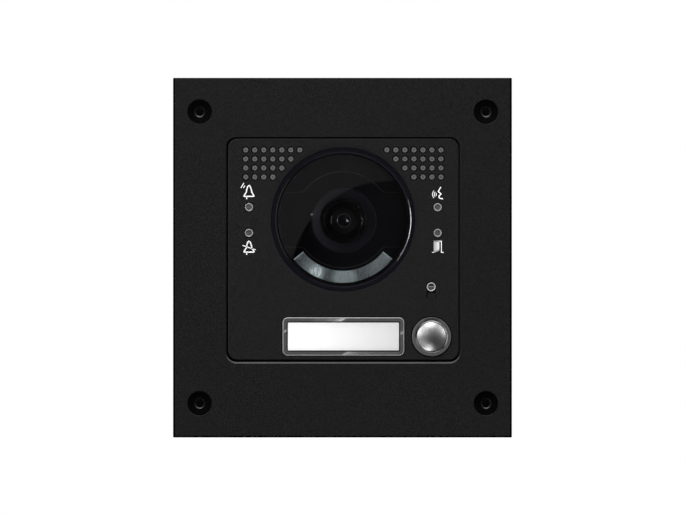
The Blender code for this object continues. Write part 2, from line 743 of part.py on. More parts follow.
def make_module_fascia(panel):
    sections = rounded_front(module_outline, FASCIA_FRONT, MODULE_EDGE_ROUND)
    block = lofted(sections + [(FLANGE_REAR, module_outline(0))])
    fascia = solid("module_fascia", block, fascia_plastic(), panel)
    join(fascia, prism(aperture_outline(FLANGE_OVERLAP), FLANGE_FRONT, FLANGE_REAR))
    ears = bmesh.new()
    for x, z in ear_places().values():
        reach = EAR_X - MODULE_HALF + 2 * EAR_RADIUS
        middle = (math.copysign(EAR_X + EAR_RADIUS - reach / 2, x), z)
        ear = rounded_rectangle(reach, 2 * EAR_RADIUS, EAR_RADIUS, middle)
        prism(ear, FLANGE_FRONT, FLANGE_REAR, ears)
    join(fascia, ears)
    cut(fascia, prism(module_outline(-FASCIA_WALL), FASCIA_REAR, FLANGE_REAR + OVERRUN))

    inside = bmesh.new()
    buried = FASCIA_REAR - ROOT
    for place in post_places().values():
        prism(circle(POST_RADIUS, SMALL_STEPS, place), buried, SEAT_FRONT, inside)
    pad_bottom = MODULE_BOTTOM + FASCIA_WALL / 2
    pad_top = ROW_Z + NAME_HEIGHT / 2 + FASCIA_WALL
    pad_middle = (0, (pad_top + pad_bottom) / 2)
    pad = rounded_rectangle(NAME_WIDTH + 2 * FASCIA_WALL, pad_top - pad_bottom, NAME_CORNER, pad_middle)
    prism(pad, buried, fascia_floor() + NAME_FLOOR, inside)
    join(fascia, inside)

    openings = bmesh.new()
    holes = [(WINDOW_RADIUS, FINE_STEPS, (0, CAMERA_Z))]
    holes += [(SPEAKER_HOLE_RADIUS, HOLE_STEPS, place) for place in speaker_hole_places()]
    holes += [(LIGHT_PIPE_RADIUS + FIT, SMALL_STEPS, place) for place in light_pipe_places().values()]
    holes.append((MIC_PORT_RADIUS + FIT, SMALL_STEPS, (BUTTON_X, MIC_Z)))
    for radius, steps, place in holes:
        prism(circle(radius, steps, place), FASCIA_FRONT - OVERRUN, FASCIA_REAR + OVERRUN, openings)
    bore = BUTTON_RING_RADIUS + FIT
    sleeve = button_sleeve() + FIT
    shoulder = FASCIA_FRONT - BUTTON_RING_PROUD + BUTTON_RING_HEAD + FIT
    stepped = [
        (0, FASCIA_FRONT - OVERRUN),
        (bore, FASCIA_FRONT - OVERRUN),
        (bore, shoulder),
        (sleeve, shoulder),
        (sleeve, FASCIA_REAR + OVERRUN),
        (0, FASCIA_REAR + OVERRUN),
    ]
    turned(stepped, ROUND_STEPS, (BUTTON_X, ROW_Z), openings)
    clear = 2 * FIT
    recess = rounded_rectangle(NAME_WIDTH + clear, NAME_HEIGHT + clear, NAME_CORNER + FIT, (0, ROW_Z))
    prism(recess, FASCIA_FRONT - OVERRUN, fascia_floor(), openings)
    cut(fascia, openings)

    deeper = prism(
        rounded_rectangle(*name_opening(), NAME_CORNER, (0, ROW_Z)),
        FASCIA_FRONT,
        fascia_floor() + NAME_FLOOR + OVERRUN,
    )
    for place in post_places().values():
        pilot = circle(SCREW_RADIUS + FIT, HOLE_STEPS, place)
        prism(pilot, SEAT_FRONT - HOUSING_SCREW_GRIP - FIT, SEAT_FRONT + OVERRUN, deeper)
    for place in ear_places().values():
        prism(circle(SCREW_RADIUS + FIT, HOLE_STEPS, place), PLATE_REAR, OVERRUN, deeper)
    for side in SIDES.values():
        prism(speaker_field(side, 0), FASCIA_FRONT + SPEAKER_WALL, FASCIA_REAR + ROOT, deeper)
    add_drip_groove(deeper)
    cut(fascia, deeper)


def add_drip_groove(bm):
    """A ramp under the microphone port: deepest at the port, and running out to the face below it."""
    slope = MIC_GROOVE_LENGTH / MIC_GROOVE_DEPTH

    def section(y):
        bottom = MIC_Z - MIC_GROOVE_LENGTH + (y - FASCIA_FRONT) * slope
        return y, rectangle(MIC_GROOVE_WIDTH, MIC_Z - bottom, (BUTTON_X, (MIC_Z + bottom) / 2))

    lofted([section(FASCIA_FRONT - OVERRUN), section(FASCIA_FRONT + MIC_GROOVE_DEPTH - FIT)], bm)


def make_seals(panel):
    seal_rear = SEAL_FRONT + SEAL_THICKNESS
    sheet = prism(aperture_outline(FIT + SEAL_WIDTH), SEAL_FRONT, seal_rear)
    module_seal = solid("module_seal", sheet, rubber(), panel)
    cut(module_seal, prism(aperture_outline(FIT), SEAL_FRONT - OVERRUN, seal_rear + OVERRUN))
    rim = (HOUSING_WALL - SEAL_WIDTH) / 2
    ring = prism(module_outline(-rim), HOUSING_SEAL_FRONT, HOUSING_SEAL_FRONT + SEAL_THICKNESS)
    housing_seal = solid("housing_seal", ring, rubber(), panel)
    inside = module_outline(-rim - SEAL_WIDTH)
    cut(housing_seal, prism(inside, HOUSING_SEAL_FRONT - OVERRUN, HOUSING_FRONT + OVERRUN))


def make_rear_housing(panel):
    shoulder = HOUSING_REAR - HOUSING_CHAMFER
    block = [
        (HOUSING_FRONT, module_outline(0)),
        (shoulder, module_outline(0)),
        (HOUSING_REAR, module_outline(-HOUSING_CHAMFER)),
    ]
    housing = solid("rear_housing", lofted(block), matt_black(), panel)
    low = MODULE_BOTTOM - OVERRUN
    middle = (0, (HOUSING_STEP_Z + low) / 2)
    step = rectangle(MODULE_WIDTH + 2 * OVERRUN, HOUSING_STEP_Z - low, middle)
    cut(housing, prism(step, HOUSING_STEP_REAR, HOUSING_REAR + OVERRUN))
    shallow = module_outline(-HOUSING_WALL)
    cut(housing, prism(shallow, HOUSING_FRONT - OVERRUN, HOUSING_STEP_REAR - HOUSING_WALL))
    bottom = HOUSING_STEP_Z + HOUSING_WALL
    top = MODULE_TOP - HOUSING_WALL
    middle = (0, (top + bottom) / 2)
    width = MODULE_WIDTH - 2 * HOUSING_WALL
    deep = rounded_rectangle(width, top - bottom, MODULE_CORNER - HOUSING_WALL, middle)
    cut(housing, prism(deep, HOUSING_FRONT, HOUSING_REAR - HOUSING_WALL))

    sink = SCREW_HEAD_RADIUS + FIT
    columns = bmesh.new()
    for place in post_places().values():
        column = circle(sink + COLUMN_WALL, SMALL_STEPS, place)
        prism(column, COLUMN_FRONT, HOUSING_REAR - HOUSING_WALL / 2, columns)
    join(housing, columns)
    inside = prism(module_outline(0), HOUSING_FRONT, HOUSING_REAR)
    combine(housing, inside, "INTERSECT")

    bores = bmesh.new()
    stepped = [
        (0, COLUMN_FRONT - OVERRUN),
        (SCREW_RADIUS + FIT, COLUMN_FRONT - OVERRUN),
        (SCREW_RADIUS + FIT, COLUMN_SEAT),
        (sink, COLUMN_SEAT),
        (sink, HOUSING_REAR + OVERRUN),
        (0, HOUSING_REAR + OVERRUN),
    ]
    for place in post_places().values():
        turned(stepped, SMALL_STEPS, place, bores)
    width, height = terminal_size()
    opening = rectangle(width + 2 * FIT, height + 2 * FIT, (0, terminal_z()))
    prism(opening, HOUSING_STEP_REAR - 2 * HOUSING_WALL, HOUSING_STEP_REAR + OVERRUN, bores)
    cut(housing, bores)


def terminal_size():
    return TERMINAL_WAYS * TERMINAL_PITCH + 2 * TERMINAL_END, TERMINAL_HEIGHT


def terminal_z():
    return (MODULE_BOTTOM + HOUSING_STEP_Z) / 2


def make_terminal_block(panel):
    width, height = terminal_size()
    front = BOARD_REAR + FIT
    rear = front + TERMINAL_DEPTH
    middle = terminal_z()
    body = prism(rectangle(width, height, (0, middle)), front, rear)
    block = solid("terminal_block", body, material("terminal_green", (0.03, 0.22, 0.08), 0.45), panel)
    wells = bmesh.new()
    for way in range(TERMINAL_WAYS):
        x = (way - (TERMINAL_WAYS - 1) / 2) * TERMINAL_PITCH
        entry_z = middle - height / 2 + TERMINAL_ENTRY_INSET
        entry = rectangle(TERMINAL_ENTRY, TERMINAL_ENTRY, (x, entry_z))
        prism(entry, rear - TERMINAL_ENTRY_DEPTH, rear + OVERRUN, wells)
        drive_z = middle + height / 2 - TERMINAL_DRIVE_INSET
        drive = circle(TERMINAL_DRIVE_RADIUS, HOLE_STEPS, (x, drive_z))
        prism(drive, rear - TERMINAL_DRIVE_DEPTH, rear + OVERRUN, wells)
    cut(block, wells)


def make_main_board(panel):
    sheet = module_outline(-HOUSING_WALL - BOARD_MARGIN)
    board = solid("main_board", prism(sheet, BOARD_FRONT, BOARD_REAR), circuit_board(), panel)
    holes = [circle(CAMERA_OPENING, HIDDEN_STEPS, (0, CAMERA_Z))]
    holes += [circle(SCREW_RADIUS + FIT, HOLE_STEPS, place) for place in post_places().values()]
    drills = bmesh.new()
    for hole in holes:
        prism(hole, BOARD_FRONT - OVERRUN, BOARD_REAR + OVERRUN, drills)
    cut(board, drills)


def make_camera_window(camera):
    crown = (RING_OUTER - RING_INNER) / 2
    rise = WINDOW_LIP - FIT
    edge = RING_FRONT + rise
    turns = [math.pi * i / (2 * EDGE_STEPS) for i in range(2 * EDGE_STEPS + 1)]
    bulge = [(RING_INNER + crown * (1 - math.cos(a)), edge - rise * math.sin(a)) for a in turns]
    profile = bulge + [
        (RING_OUTER, BEHIND_FASCIA),
        (FLANGE_OUTER, BEHIND_FASCIA),
        (FLANGE_OUTER, RING_REAR),
        (WINDOW_SEAT, RING_REAR),
        (WINDOW_SEAT, RING_FRONT + WINDOW_LIP),
        (RING_INNER, RING_FRONT + WINDOW_LIP),
    ]
    solid("window_ring", turned(profile, FINE_STEPS), gloss_black(), camera)

    outer = dome(WINDOW_CLEAR, WINDOW_RIM_FRONT, WINDOW_DOME_RISE, DOME_STEPS)
    inner = dome(WINDOW_CLEAR - WINDOW_THICKNESS, WINDOW_RIM_REAR, WINDOW_DOME_RISE, DOME_STEPS)
    rim = [(WINDOW_RIM, WINDOW_RIM_REAR), (WINDOW_RIM, WINDOW_RIM_FRONT)]
    solid("camera_window", turned(inner[::-1] + rim + outer, FINE_STEPS), clear_plastic(), camera)

    near = WINDOW_RIM_REAR + FIT
    far = MASK_FRONT - FIT
    seal = [
        (MASK_POCKET_OUTER, near),
        (WINDOW_RIM, near),
        (WINDOW_RIM, far),
        (MASK_POCKET_OUTER, far),
    ]
    solid("window_seal", turned(seal, HIDDEN_STEPS), rubber(), camera)


def mask_pocket(side):
    """The stepped-back area above or below the lens, bounded by two arcs and a level line."""
    inner = math.degrees(math.asin(MASK_BAND_HALF_HEIGHT / MASK_PANEL_RADIUS))
    outer = math.degrees(math.asin(MASK_BAND_HALF_HEIGHT / MASK_POCKET_OUTER))
    points = arc(MASK_POCKET_OUTER, outer, 180 - outer, SMALL_STEPS)
    points += arc(MASK_PANEL_RADIUS, 180 - inner, inner, SMALL_STEPS)
    return [(x, side * z) for x, z in points]


def camera_post_places():
    x, z = arc(CAMERA_POST_CIRCLE, CAMERA_POST_ANGLE, CAMERA_POST_ANGLE, 1)[0]
    return {"upper": (x, z), "lower": (-x, -z)}


def camera_board_front():
    return holder_front() + HOLDER_TUBE_DEPTH + HOLDER_BASE_DEPTH + FIT


def holder_front():
    return lens_flange_rear() + FIT


def lens_front():
    return MASK_FRONT - LENS_BEZEL_PROUD + LENS_BEZEL_DISH - LENS_FUNNEL


def lens_flange_rear():
    return lens_front() + LENS_FLANGE_DEPTH


def make_camera_mask(camera):
    profile = [
        (0, MASK_FRONT),
        (WINDOW_RIM, MASK_FRONT),
        (WINDOW_RIM, MASK_BASE_FRONT),
        (FLANGE_OUTER, MASK_BASE_FRONT),
        (FLANGE_OUTER, MASK_REAR),
        (0, MASK_REAR),
    ]
    mask = solid("camera_mask", turned(profile, HIDDEN_STEPS), matt_black(), camera)
    pockets = bmesh.new()
    for side in (1, -1):
        prism(mask_pocket(side), MASK_FRONT - OVERRUN, MASK_BASE_FRONT, pockets)
    cut(mask, pockets)

    legs = bmesh.new()
    buried = MASK_REAR - ROOT
    for angle in MASK_LEG_ANGLES:
        place = arc(MASK_LEG_CIRCLE, angle, angle, 1)[0]
        prism(circle(MASK_LEG_RADIUS, HOLE_STEPS, place), buried, SEAT_FRONT, legs)
    for place in camera_post_places().values():
        prism(circle(CAMERA_POST_RADIUS, SMALL_STEPS, place), buried, camera_board_front() - FIT, legs)
    join(mask, legs)

    slot = ring_sector(
        DIFFUSER_INNER + ILLUMINATOR_SLOT_BORDER,
        DIFFUSER_OUTER - ILLUMINATOR_SLOT_BORDER,
        DIFFUSER_HALF_ANGLE - math.degrees(ILLUMINATOR_SLOT_BORDER / DIFFUSER_INNER),
        SMALL_STEPS,
    )
    openings = prism(slot, MASK_FRONT - OVERRUN, MASK_REAR + OVERRUN)
    prism(circle(LENS_BEZEL_OUTER + FIT, HIDDEN_STEPS), MASK_FRONT - OVERRUN, MASK_REAR + OVERRUN, openings)
    for place in camera_post_places().values():
        rear = camera_board_front() - FIT
        pilot = circle(CAMERA_SCREW_RADIUS + FIT, HOLE_STEPS, place)
        prism(pilot, rear - CAMERA_SCREW_GRIP - FIT, rear + OVERRUN, openings)
    cut(mask, openings)


def make_lens(camera):
    front = MASK_FRONT - LENS_BEZEL_PROUD
    dish = front + LENS_BEZEL_DISH
    flange = MASK_REAR + FIT
    bezel = [
        (LENS_BEZEL_INNER, dish),
        (LENS_BEZEL_OUTER, front),
        (LENS_BEZEL_OUTER, flange),
        (BEZEL_FLANGE_RADIUS, flange),
        (BEZEL_FLANGE_RADIUS, flange + LENS_BEZEL_FLANGE_DEPTH),
        (LENS_BEZEL_INNER, flange + LENS_BEZEL_FLANGE_DEPTH),
    ]
    grey = material("bezel_grey", (0.02, 0.02, 0.024), 0.45)
    solid("lens_bezel", turned(bezel, HIDDEN_STEPS), grey, camera)

    near = lens_front()
    funnel = near + LENS_FUNNEL
    pocket = FRONT_LENS_RADIUS + FIT
    pocket_rear = funnel + FRONT_LENS_EDGE + 2 * FIT
    tube_rear = lens_flange_rear() + LENS_TUBE_DEPTH
    barrel = [
        (pocket, funnel),
        (LENS_BEZEL_INNER - FIT, near),
        (LENS_BEZEL_INNER - FIT, lens_flange_rear()),
        (LENS_TUBE_RADIUS, lens_flange_rear()),
        (LENS_TUBE_RADIUS, tube_rear),
        (LENS_BORE, tube_rear),
        (LENS_BORE, pocket_rear),
        (pocket, pocket_rear),
    ]
    solid("lens_barrel", turned(barrel, HIDDEN_STEPS), matt_black(), camera)

    edge = pocket_rear - FIT - FRONT_LENS_EDGE
    glass = [(0, pocket_rear - FIT), (FRONT_LENS_RADIUS, pocket_rear - FIT)]
    glass += dome(FRONT_LENS_RADIUS, edge, FRONT_LENS_RISE, DOME_STEPS)
    solid("front_lens", turned(glass, ROUND_STEPS), material("lens_glass", (0.3, 0.32, 0.4), 0.02), camera)

    bore = LENS_TUBE_RADIUS + FIT
    tube_end = holder_front() + HOLDER_TUBE_DEPTH
    base_rear = tube_end + HOLDER_BASE_DEPTH
    seat = HOLDER_SIDE / 2 - HOLDER_WALL
    holder = solid(
        "lens_holder",
        prism(rounded_rectangle(HOLDER_SIDE, HOLDER_SIDE, HOLDER_WALL), tube_end, base_rear),
        matt_black(),
        camera,
    )
    join(holder, prism(circle(bore + HOLDER_WALL, ROUND_STEPS), holder_front(), tube_end + HOLDER_WALL))
    cut(holder, prism(circle(bore, ROUND_STEPS), holder_front() - OVERRUN, base_rear + OVERRUN))
    chamber = rounded_rectangle(2 * seat, 2 * seat, HOLDER_WALL)
    cut(holder, prism(chamber, base_rear - HOLDER_BASE_DEPTH / 2, base_rear + OVERRUN))

    board_front = camera_board_front()
    die = prism(rectangle(SENSOR_SIDE, SENSOR_SIDE), board_front - FIT - SENSOR_HEIGHT, board_front - FIT)
    solid("image_sensor", die, material("sensor_black", (0.02, 0.03, 0.04), 0.2), camera)

    board_rear = board_front + CAMERA_BOARD_THICKNESS
    post_x, post_z = camera_post_places()["upper"]
    width = 2 * (post_x + CAMERA_BOARD_MARGIN)
    height = 2 * max(post_z + CAMERA_BOARD_MARGIN, HOLDER_SIDE / 2 + BOARD_MARGIN)
    sheet = rounded_rectangle(width, height, CAMERA_BOARD_MARGIN)
    board = solid("camera_board", prism(sheet, board_front, board_rear), circuit_board(), camera)
    holes = bmesh.new()
    for place in camera_post_places().values():
        clear = circle(CAMERA_SCREW_RADIUS + FIT, HOLE_STEPS, place)
        prism(clear, board_front - OVERRUN, board_rear + OVERRUN, holes)
    cut(board, holes)

    seat_rear = board_rear + FIT
    length = seat_rear - (board_front - FIT) + CAMERA_SCREW_GRIP
    screw = small_screw(
        "camera_screw",
        CAMERA_SCREW_RADIUS,
        CAMERA_SCREW_HEAD_RADIUS,
        CAMERA_SCREW_HEAD_HEIGHT,
        seat_rear,
        length,
        camera,
    )
    copies(screw, {f"camera_screw_{name}": (x, 0, z) for name, (x, z) in camera_post_places().items()})


def make_illuminator(camera):
    rear = MASK_BASE_FRONT - FIT
    strip = ring_sector(DIFFUSER_INNER, DIFFUSER_OUTER, DIFFUSER_HALF_ANGLE, SMALL_STEPS)
    solid("illuminator_diffuser", prism(strip, rear - DIFFUSER_THICKNESS, rear), frosted_plastic(), camera)
    front = MASK_REAR + FIT
    sheet = ring_sector(
        DIFFUSER_INNER - ILLUMINATOR_BOARD_BORDER,
        DIFFUSER_OUTER + ILLUMINATOR_BOARD_BORDER,
        DIFFUSER_HALF_ANGLE,
        SMALL_STEPS,
    )
    board = prism(sheet, front, front + ILLUMINATOR_BOARD_THICKNESS)
    solid("illuminator_board", board, circuit_board(), camera)
    middle = (DIFFUSER_INNER + DIFFUSER_OUTER) / 2
    body = rectangle(ILLUMINATOR_LED_SIDE, ILLUMINATOR_LED_SIDE)
    seat = front - FIT
    lamp = solid("illuminator_led", prism(body, seat - ILLUMINATOR_LED_HEIGHT, seat), white_part(), camera)
    places = {}
    for name, turn in (("left", -1), ("middle", 0), ("right", 1)):
        x, z = arc(middle, -90 + turn * ILLUMINATOR_LED_ANGLE, -90, 1)[0]
        places[f"illuminator_led_{name}"] = (x, 0, z)
    copies(lamp, places)


def make_speakers(panel):
    mesh_front = FASCIA_FRONT + SPEAKER_WALL + FIT
    mesh_rear = mesh_front + SPEAKER_MESH_THICKNESS
    front = BEHIND_FASCIA
    cone = front + SPEAKER_CONE_DEPTH
    basket = front + SPEAKER_BASKET_DEPTH
    profile = [
        (0, cone),
        (SPEAKER_MAGNET_RADIUS / 2, cone),
        (SPEAKER_RADIUS - SPEAKER_RIM, front + SPEAKER_RIM / 2),
        (SPEAKER_RADIUS - SPEAKER_RIM, front),
        (SPEAKER_RADIUS, front),
        (SPEAKER_RADIUS, front + SPEAKER_RIM),
        (SPEAKER_MAGNET_RADIUS, basket),
        (SPEAKER_MAGNET_RADIUS, SEAT_FRONT),
        (0, SEAT_FRONT),
    ]
    for name, side in SIDES.items():
        sheet = prism(speaker_field(side, FIT), mesh_front, mesh_rear)
        solid(f"speaker_mesh_{name}", sheet, material("speaker_cloth", (0.16, 0.16, 0.16), 0.6), panel)
        place = (side * (SPEAKER_COLUMN_X - SPEAKER_INSET_X), SPEAKER_ROW_Z - SPEAKER_INSET_Z)
        solid(f"speaker_{name}", turned(profile, ROUND_STEPS, place), matt_black(), panel)


def make_microphone(panel):
    microphone = empty("microphone_axis", (BUTTON_X, 0, MIC_Z), panel)
    front = FASCIA_FRONT + MIC_PORT_RECESS
    collar = BEHIND_FASCIA
    collar_rear = collar + MIC_PORT_COLLAR_DEPTH
    wide = MIC_PORT_RADIUS + FIT + MIC_PORT_COLLAR
    profile = [
        (0, front),
        (MIC_PORT_RADIUS, front),
        (MIC_PORT_RADIUS, collar),
        (wide, collar),
        (wide, collar_rear),
        (0, collar_rear),
    ]
    port = solid("microphone_port", turned(profile, SMALL_STEPS), frosted_plastic(), microphone)
    slit = rounded_rectangle(MIC_SLIT_LENGTH, MIC_SLIT_WIDTH, MIC_SLIT_WIDTH / 2)
    cut(port, prism(slit, front - OVERRUN, collar_rear + OVERRUN))

    capsule_front = SEAT_FRONT - MIC_CAPSULE_HEIGHT
    capsule = prism(circle(MIC_CAPSULE_RADIUS, SMALL_STEPS), capsule_front, SEAT_FRONT)
    solid("microphone_capsule", capsule, steel(), microphone)

    boot_front = collar_rear + FIT
    grip = capsule_front - FIT
    outer = MIC_CAPSULE_RADIUS + FIT + MIC_BOOT_WALL
    boot = [
        (MIC_BOOT_BORE, boot_front),
        (outer, boot_front),
        (outer, grip + MIC_BOOT_GRIP),
        (MIC_CAPSULE_RADIUS + FIT, grip + MIC_BOOT_GRIP),
        (MIC_CAPSULE_RADIUS + FIT, grip),
        (MIC_BOOT_BORE, grip),
    ]
    solid("microphone_boot", turned(boot, SMALL_STEPS), rubber(), microphone)


def make_status_lights(panel):
    front = FASCIA_FRONT - LIGHT_PIPE_PROUD
    collar = BEHIND_FASCIA
    led_front = SEAT_FRONT - STATUS_LED_HEIGHT
    wide = LIGHT_PIPE_RADIUS + LIGHT_PIPE_COLLAR
    profile = dome(LIGHT_PIPE_RADIUS, front + LIGHT_PIPE_PROUD, LIGHT_PIPE_PROUD, EDGE_STEPS)[::-1] + [
        (LIGHT_PIPE_RADIUS, collar),
        (wide, collar),
        (wide, collar + LIGHT_PIPE_COLLAR_DEPTH),
        (LIGHT_PIPE_RADIUS, collar + LIGHT_PIPE_COLLAR_DEPTH),
        (LIGHT_PIPE_RADIUS, led_front - FIT),
        (0, led_front - FIT),
    ]
    pipe = solid("light_pipe", turned(profile, SMALL_STEPS), frosted_plastic(), panel)
    copies(pipe, {f"light_pipe_{name}": (x, 0, z) for name, (x, z) in light_pipe_places().items()})
    package = prism(rectangle(STATUS_LED_WIDTH, STATUS_LED_DEPTH), led_front, SEAT_FRONT)
    lamp = solid("status_led", package, white_part(), panel)
    copies(lamp, {f"status_led_{name}": (x, 0, z) for name, (x, z) in light_pipe_places().items()})


def button_cap_radius():
    return BUTTON_RING_RADIUS - BUTTON_RING_WIDTH - BUTTON_RING_LIP - FIT


def button_sleeve():
    """Outer radius of the ring's sleeve, which guides the cap."""
    return button_cap_radius() + FIT + BUTTON_SLEEVE_WALL


def make_call_button(panel):
    button = empty("call_button_axis", (BUTTON_X, 0, ROW_Z), panel)
    cap_radius = button_cap_radius()
    guide = cap_radius + FIT
    lip = guide + BUTTON_RING_LIP
    front = FASCIA_FRONT - BUTTON_RING_PROUD
    shoulder = front + BUTTON_RING_HEAD
    sleeve_rear = shoulder + BUTTON_SLEEVE_DEPTH
    ring = [
        (guide, front + BUTTON_RING_LIP),
        (lip, front),
        (BUTTON_RING_RADIUS - BUTTON_RING_LIP, front),
        (BUTTON_RING_RADIUS, front + BUTTON_RING_LIP),
        (BUTTON_RING_RADIUS, shoulder),
        (button_sleeve(), shoulder),
        (button_sleeve(), sleeve_rear),
        (guide, sleeve_rear),
    ]
    solid("button_ring", turned(ring, ROUND_STEPS), frosted_plastic(), button)

    flange = sleeve_rear + FIT
    flange_rear = flange + BUTTON_FLANGE_THICKNESS
    pocket = front + BUTTON_POCKET_FLOOR
    switch_front = SEAT_FRONT - SWITCH_HEIGHT
    plunger_front = switch_front - BUTTON_TRAVEL - FIT
    stem_rear = plunger_front - FIT
    rim = button_sleeve() - BUTTON_RIM_WALL - BUTTON_SLEEVE_WALL
    cap = dome(cap_radius, front, BUTTON_DOME_RISE, DOME_STEPS)[::-1] + [
        (cap_radius, flange),
        (button_sleeve(), flange),
        (button_sleeve(), flange_rear),
        (rim, flange_rear),
        (rim, pocket),
        (BUTTON_STEM_RADIUS, pocket),
        (BUTTON_STEM_RADIUS, stem_rear),
        (0, stem_rear),
    ]
    solid("button_cap", turned(cap, ROUND_STEPS), chrome(), button)

    seat = rounded_rectangle(SWITCH_SIDE, SWITCH_SIDE, BUTTON_RIM_WALL)
    switch = solid("switch_body", prism(seat, switch_front, SEAT_FRONT), matt_black(), button)
    bore = circle(PLUNGER_RADIUS + FIT, SMALL_STEPS)
    cut(switch, prism(bore, switch_front - OVERRUN, SEAT_FRONT - SWITCH_BORE_FLOOR))
    plunger_rear = switch_front + PLUNGER_GUIDE
    plunger = prism(circle(PLUNGER_RADIUS, SMALL_STEPS), plunger_front, plunger_rear)
    solid("switch_plunger", plunger, white_part(), button)
    make_button_spring(button, (BUTTON_STEM_RADIUS + rim) / 2, pocket + FIT, switch_front - FIT)


def make_button_spring(button, radius, front, rear):
    """A coil of round wire between the cap's pocket and the switch."""
    wire = SPRING_WIRE / 2
    start = front + wire
    length = rear - wire - start
    count = SPRING_TURNS * SPRING_STEPS
    curve = bpy.data.curves.new("button_spring", "CURVE")
    curve.dimensions = "3D"
    curve.bevel_depth = wire
    curve.bevel_resolution = 0
    curve.use_fill_caps = True
    spline = curve.splines.new("POLY")
    spline.points.add(count)
    for i, point in enumerate(spline.points):
        turn = 2 * math.pi * i / SPRING_STEPS
        point.co = (radius * math.cos(turn), start + length * i / count, radius * math.sin(turn), 1)
    curve.materials.append(steel())
    spring = bpy.data.objects.new("button_spring", curve)
    bpy.context.scene.collection.objects.link(spring)
    spring.parent = button


def make_name_window(panel):
    name = empty("name_window_centre", (0, 0, ROW_Z), panel)
    front = FASCIA_FRONT - NAME_PROUD
    rear = front + NAME_THICKNESS

    def outline(offset):
        return rounded_rectangle(NAME_WIDTH + 2 * offset, NAME_HEIGHT + 2 * offset, NAME_CORNER + offset)

    block = [
        (front, outline(-NAME_CHAMFER)),
        (front + NAME_CHAMFER, outline(0)),
        (rear, outline(0)),
    ]
    window = solid("name_window", lofted(block), clear_plastic(), name)
    cut(window, prism(outline(FIT - NAME_BORDER), rear - NAME_POCKET, rear + OVERRUN))

    card_front = rear - NAME_POCKET + FIT
    card = prism(outline(-NAME_BORDER), card_front, card_front + CARD_THICKNESS)
    solid("name_card", card, material("card_white", (0.85, 0.85, 0.85), 0.7), name)

    floor_rear = fascia_floor() + NAME_FLOOR
    plate_front = floor_rear + FIT
    plate_rear = plate_front + LIGHT_GUIDE_THICKNESS
    width, height = name_opening()
    boss = rounded_rectangle(width - 2 * FIT, height - 2 * FIT, NAME_CORNER - FIT)
    plate = rounded_rectangle(width + 2 * LIGHT_GUIDE_LIP, height + 2 * LIGHT_GUIDE_LIP, NAME_CORNER)
    guide = solid("name_light_guide", prism(plate, plate_front, plate_rear), frosted_plastic(), name)
    join(guide, prism(boss, fascia_floor() + FIT, plate_front + ROOT))
    legs = bmesh.new()
    for side in SIDES.values():
        place = (side * (width / 2 - LIGHT_GUIDE_LEG_RADIUS), 0)
        prism(circle(LIGHT_GUIDE_LEG_RADIUS, HOLE_STEPS, place), plate_rear - ROOT, SEAT_FRONT, legs)
    join(guide, legs)


def main():
    for obj in list(bpy.data.objects):
        bpy.data.objects.remove(obj)
    panel = empty("entry_panel", (0, 0, 0))
    camera = empty("camera_axis", (0, 0, CAMERA_Z), panel)
    make_front_plate(panel)
    make_wall_gasket(panel)
    make_fixing_screws(panel)
    make_module_fascia(panel)
    make_seals(panel)
    make_module_screws(panel)
    make_rear_housing(panel)
    make_housing_screws(panel)
    make_main_board(panel)
    make_terminal_block(panel)
    make_camera_window(camera)
    make_camera_mask(camera)
    make_lens(camera)
    make_illuminator(camera)
    make_speakers(panel)
    make_microphone(panel)
    make_status_lights(panel)
    make_call_button(panel)
    make_name_window(panel)


main()
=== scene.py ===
# %% [markdown]
# # Dressing a door intercom panel
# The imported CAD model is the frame: it says where every part is and how the call button moves.
# This lesson puts finer meshes and finishes over it, one piece at a time, and never moves a CAD part.
# Lengths are in metres, the panel's face looks along -Y, and the wall is behind it.

# %% Load the frame
import math

import bmesh
import bpy
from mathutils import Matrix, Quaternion, Vector


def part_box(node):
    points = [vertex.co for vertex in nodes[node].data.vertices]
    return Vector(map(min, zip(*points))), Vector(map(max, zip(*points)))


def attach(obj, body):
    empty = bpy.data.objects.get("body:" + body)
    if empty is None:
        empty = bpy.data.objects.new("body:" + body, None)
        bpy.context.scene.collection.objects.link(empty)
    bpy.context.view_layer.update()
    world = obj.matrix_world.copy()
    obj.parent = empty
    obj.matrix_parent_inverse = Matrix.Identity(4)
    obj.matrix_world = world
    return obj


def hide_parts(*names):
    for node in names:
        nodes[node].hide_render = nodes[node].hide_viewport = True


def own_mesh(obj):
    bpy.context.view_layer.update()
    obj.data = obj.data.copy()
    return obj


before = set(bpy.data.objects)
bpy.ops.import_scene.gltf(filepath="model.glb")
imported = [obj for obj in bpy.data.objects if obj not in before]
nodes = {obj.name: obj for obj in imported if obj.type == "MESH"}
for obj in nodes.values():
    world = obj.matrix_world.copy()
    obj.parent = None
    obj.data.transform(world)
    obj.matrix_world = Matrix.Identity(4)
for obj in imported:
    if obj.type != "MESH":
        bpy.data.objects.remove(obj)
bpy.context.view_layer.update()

MM = 0.001
scene = bpy.context.scene

# %% [markdown]
# ## The camera
# The picture was taken square to the face from some way off, so the sides of the plate don't show.
# A long lens at 1.5 m gives that, and the lens is worked out from the share of the picture's width
# that the plate fills. The standard view transform keeps the near-black paint where it is measured.

# %% Place the camera
PHOTO_WIDTH = 686
PLATE_PIXELS = 338.3
CAMERA_DISTANCE = 1.5
SENSOR_WIDTH = 36.0
PICTURE_SHIFT = -0.17 * MM


def added(name, data):
    """A new object with this data, put into the scene."""
    thing = bpy.data.objects.new(name, data)
    scene.collection.objects.link(thing)
    return thing


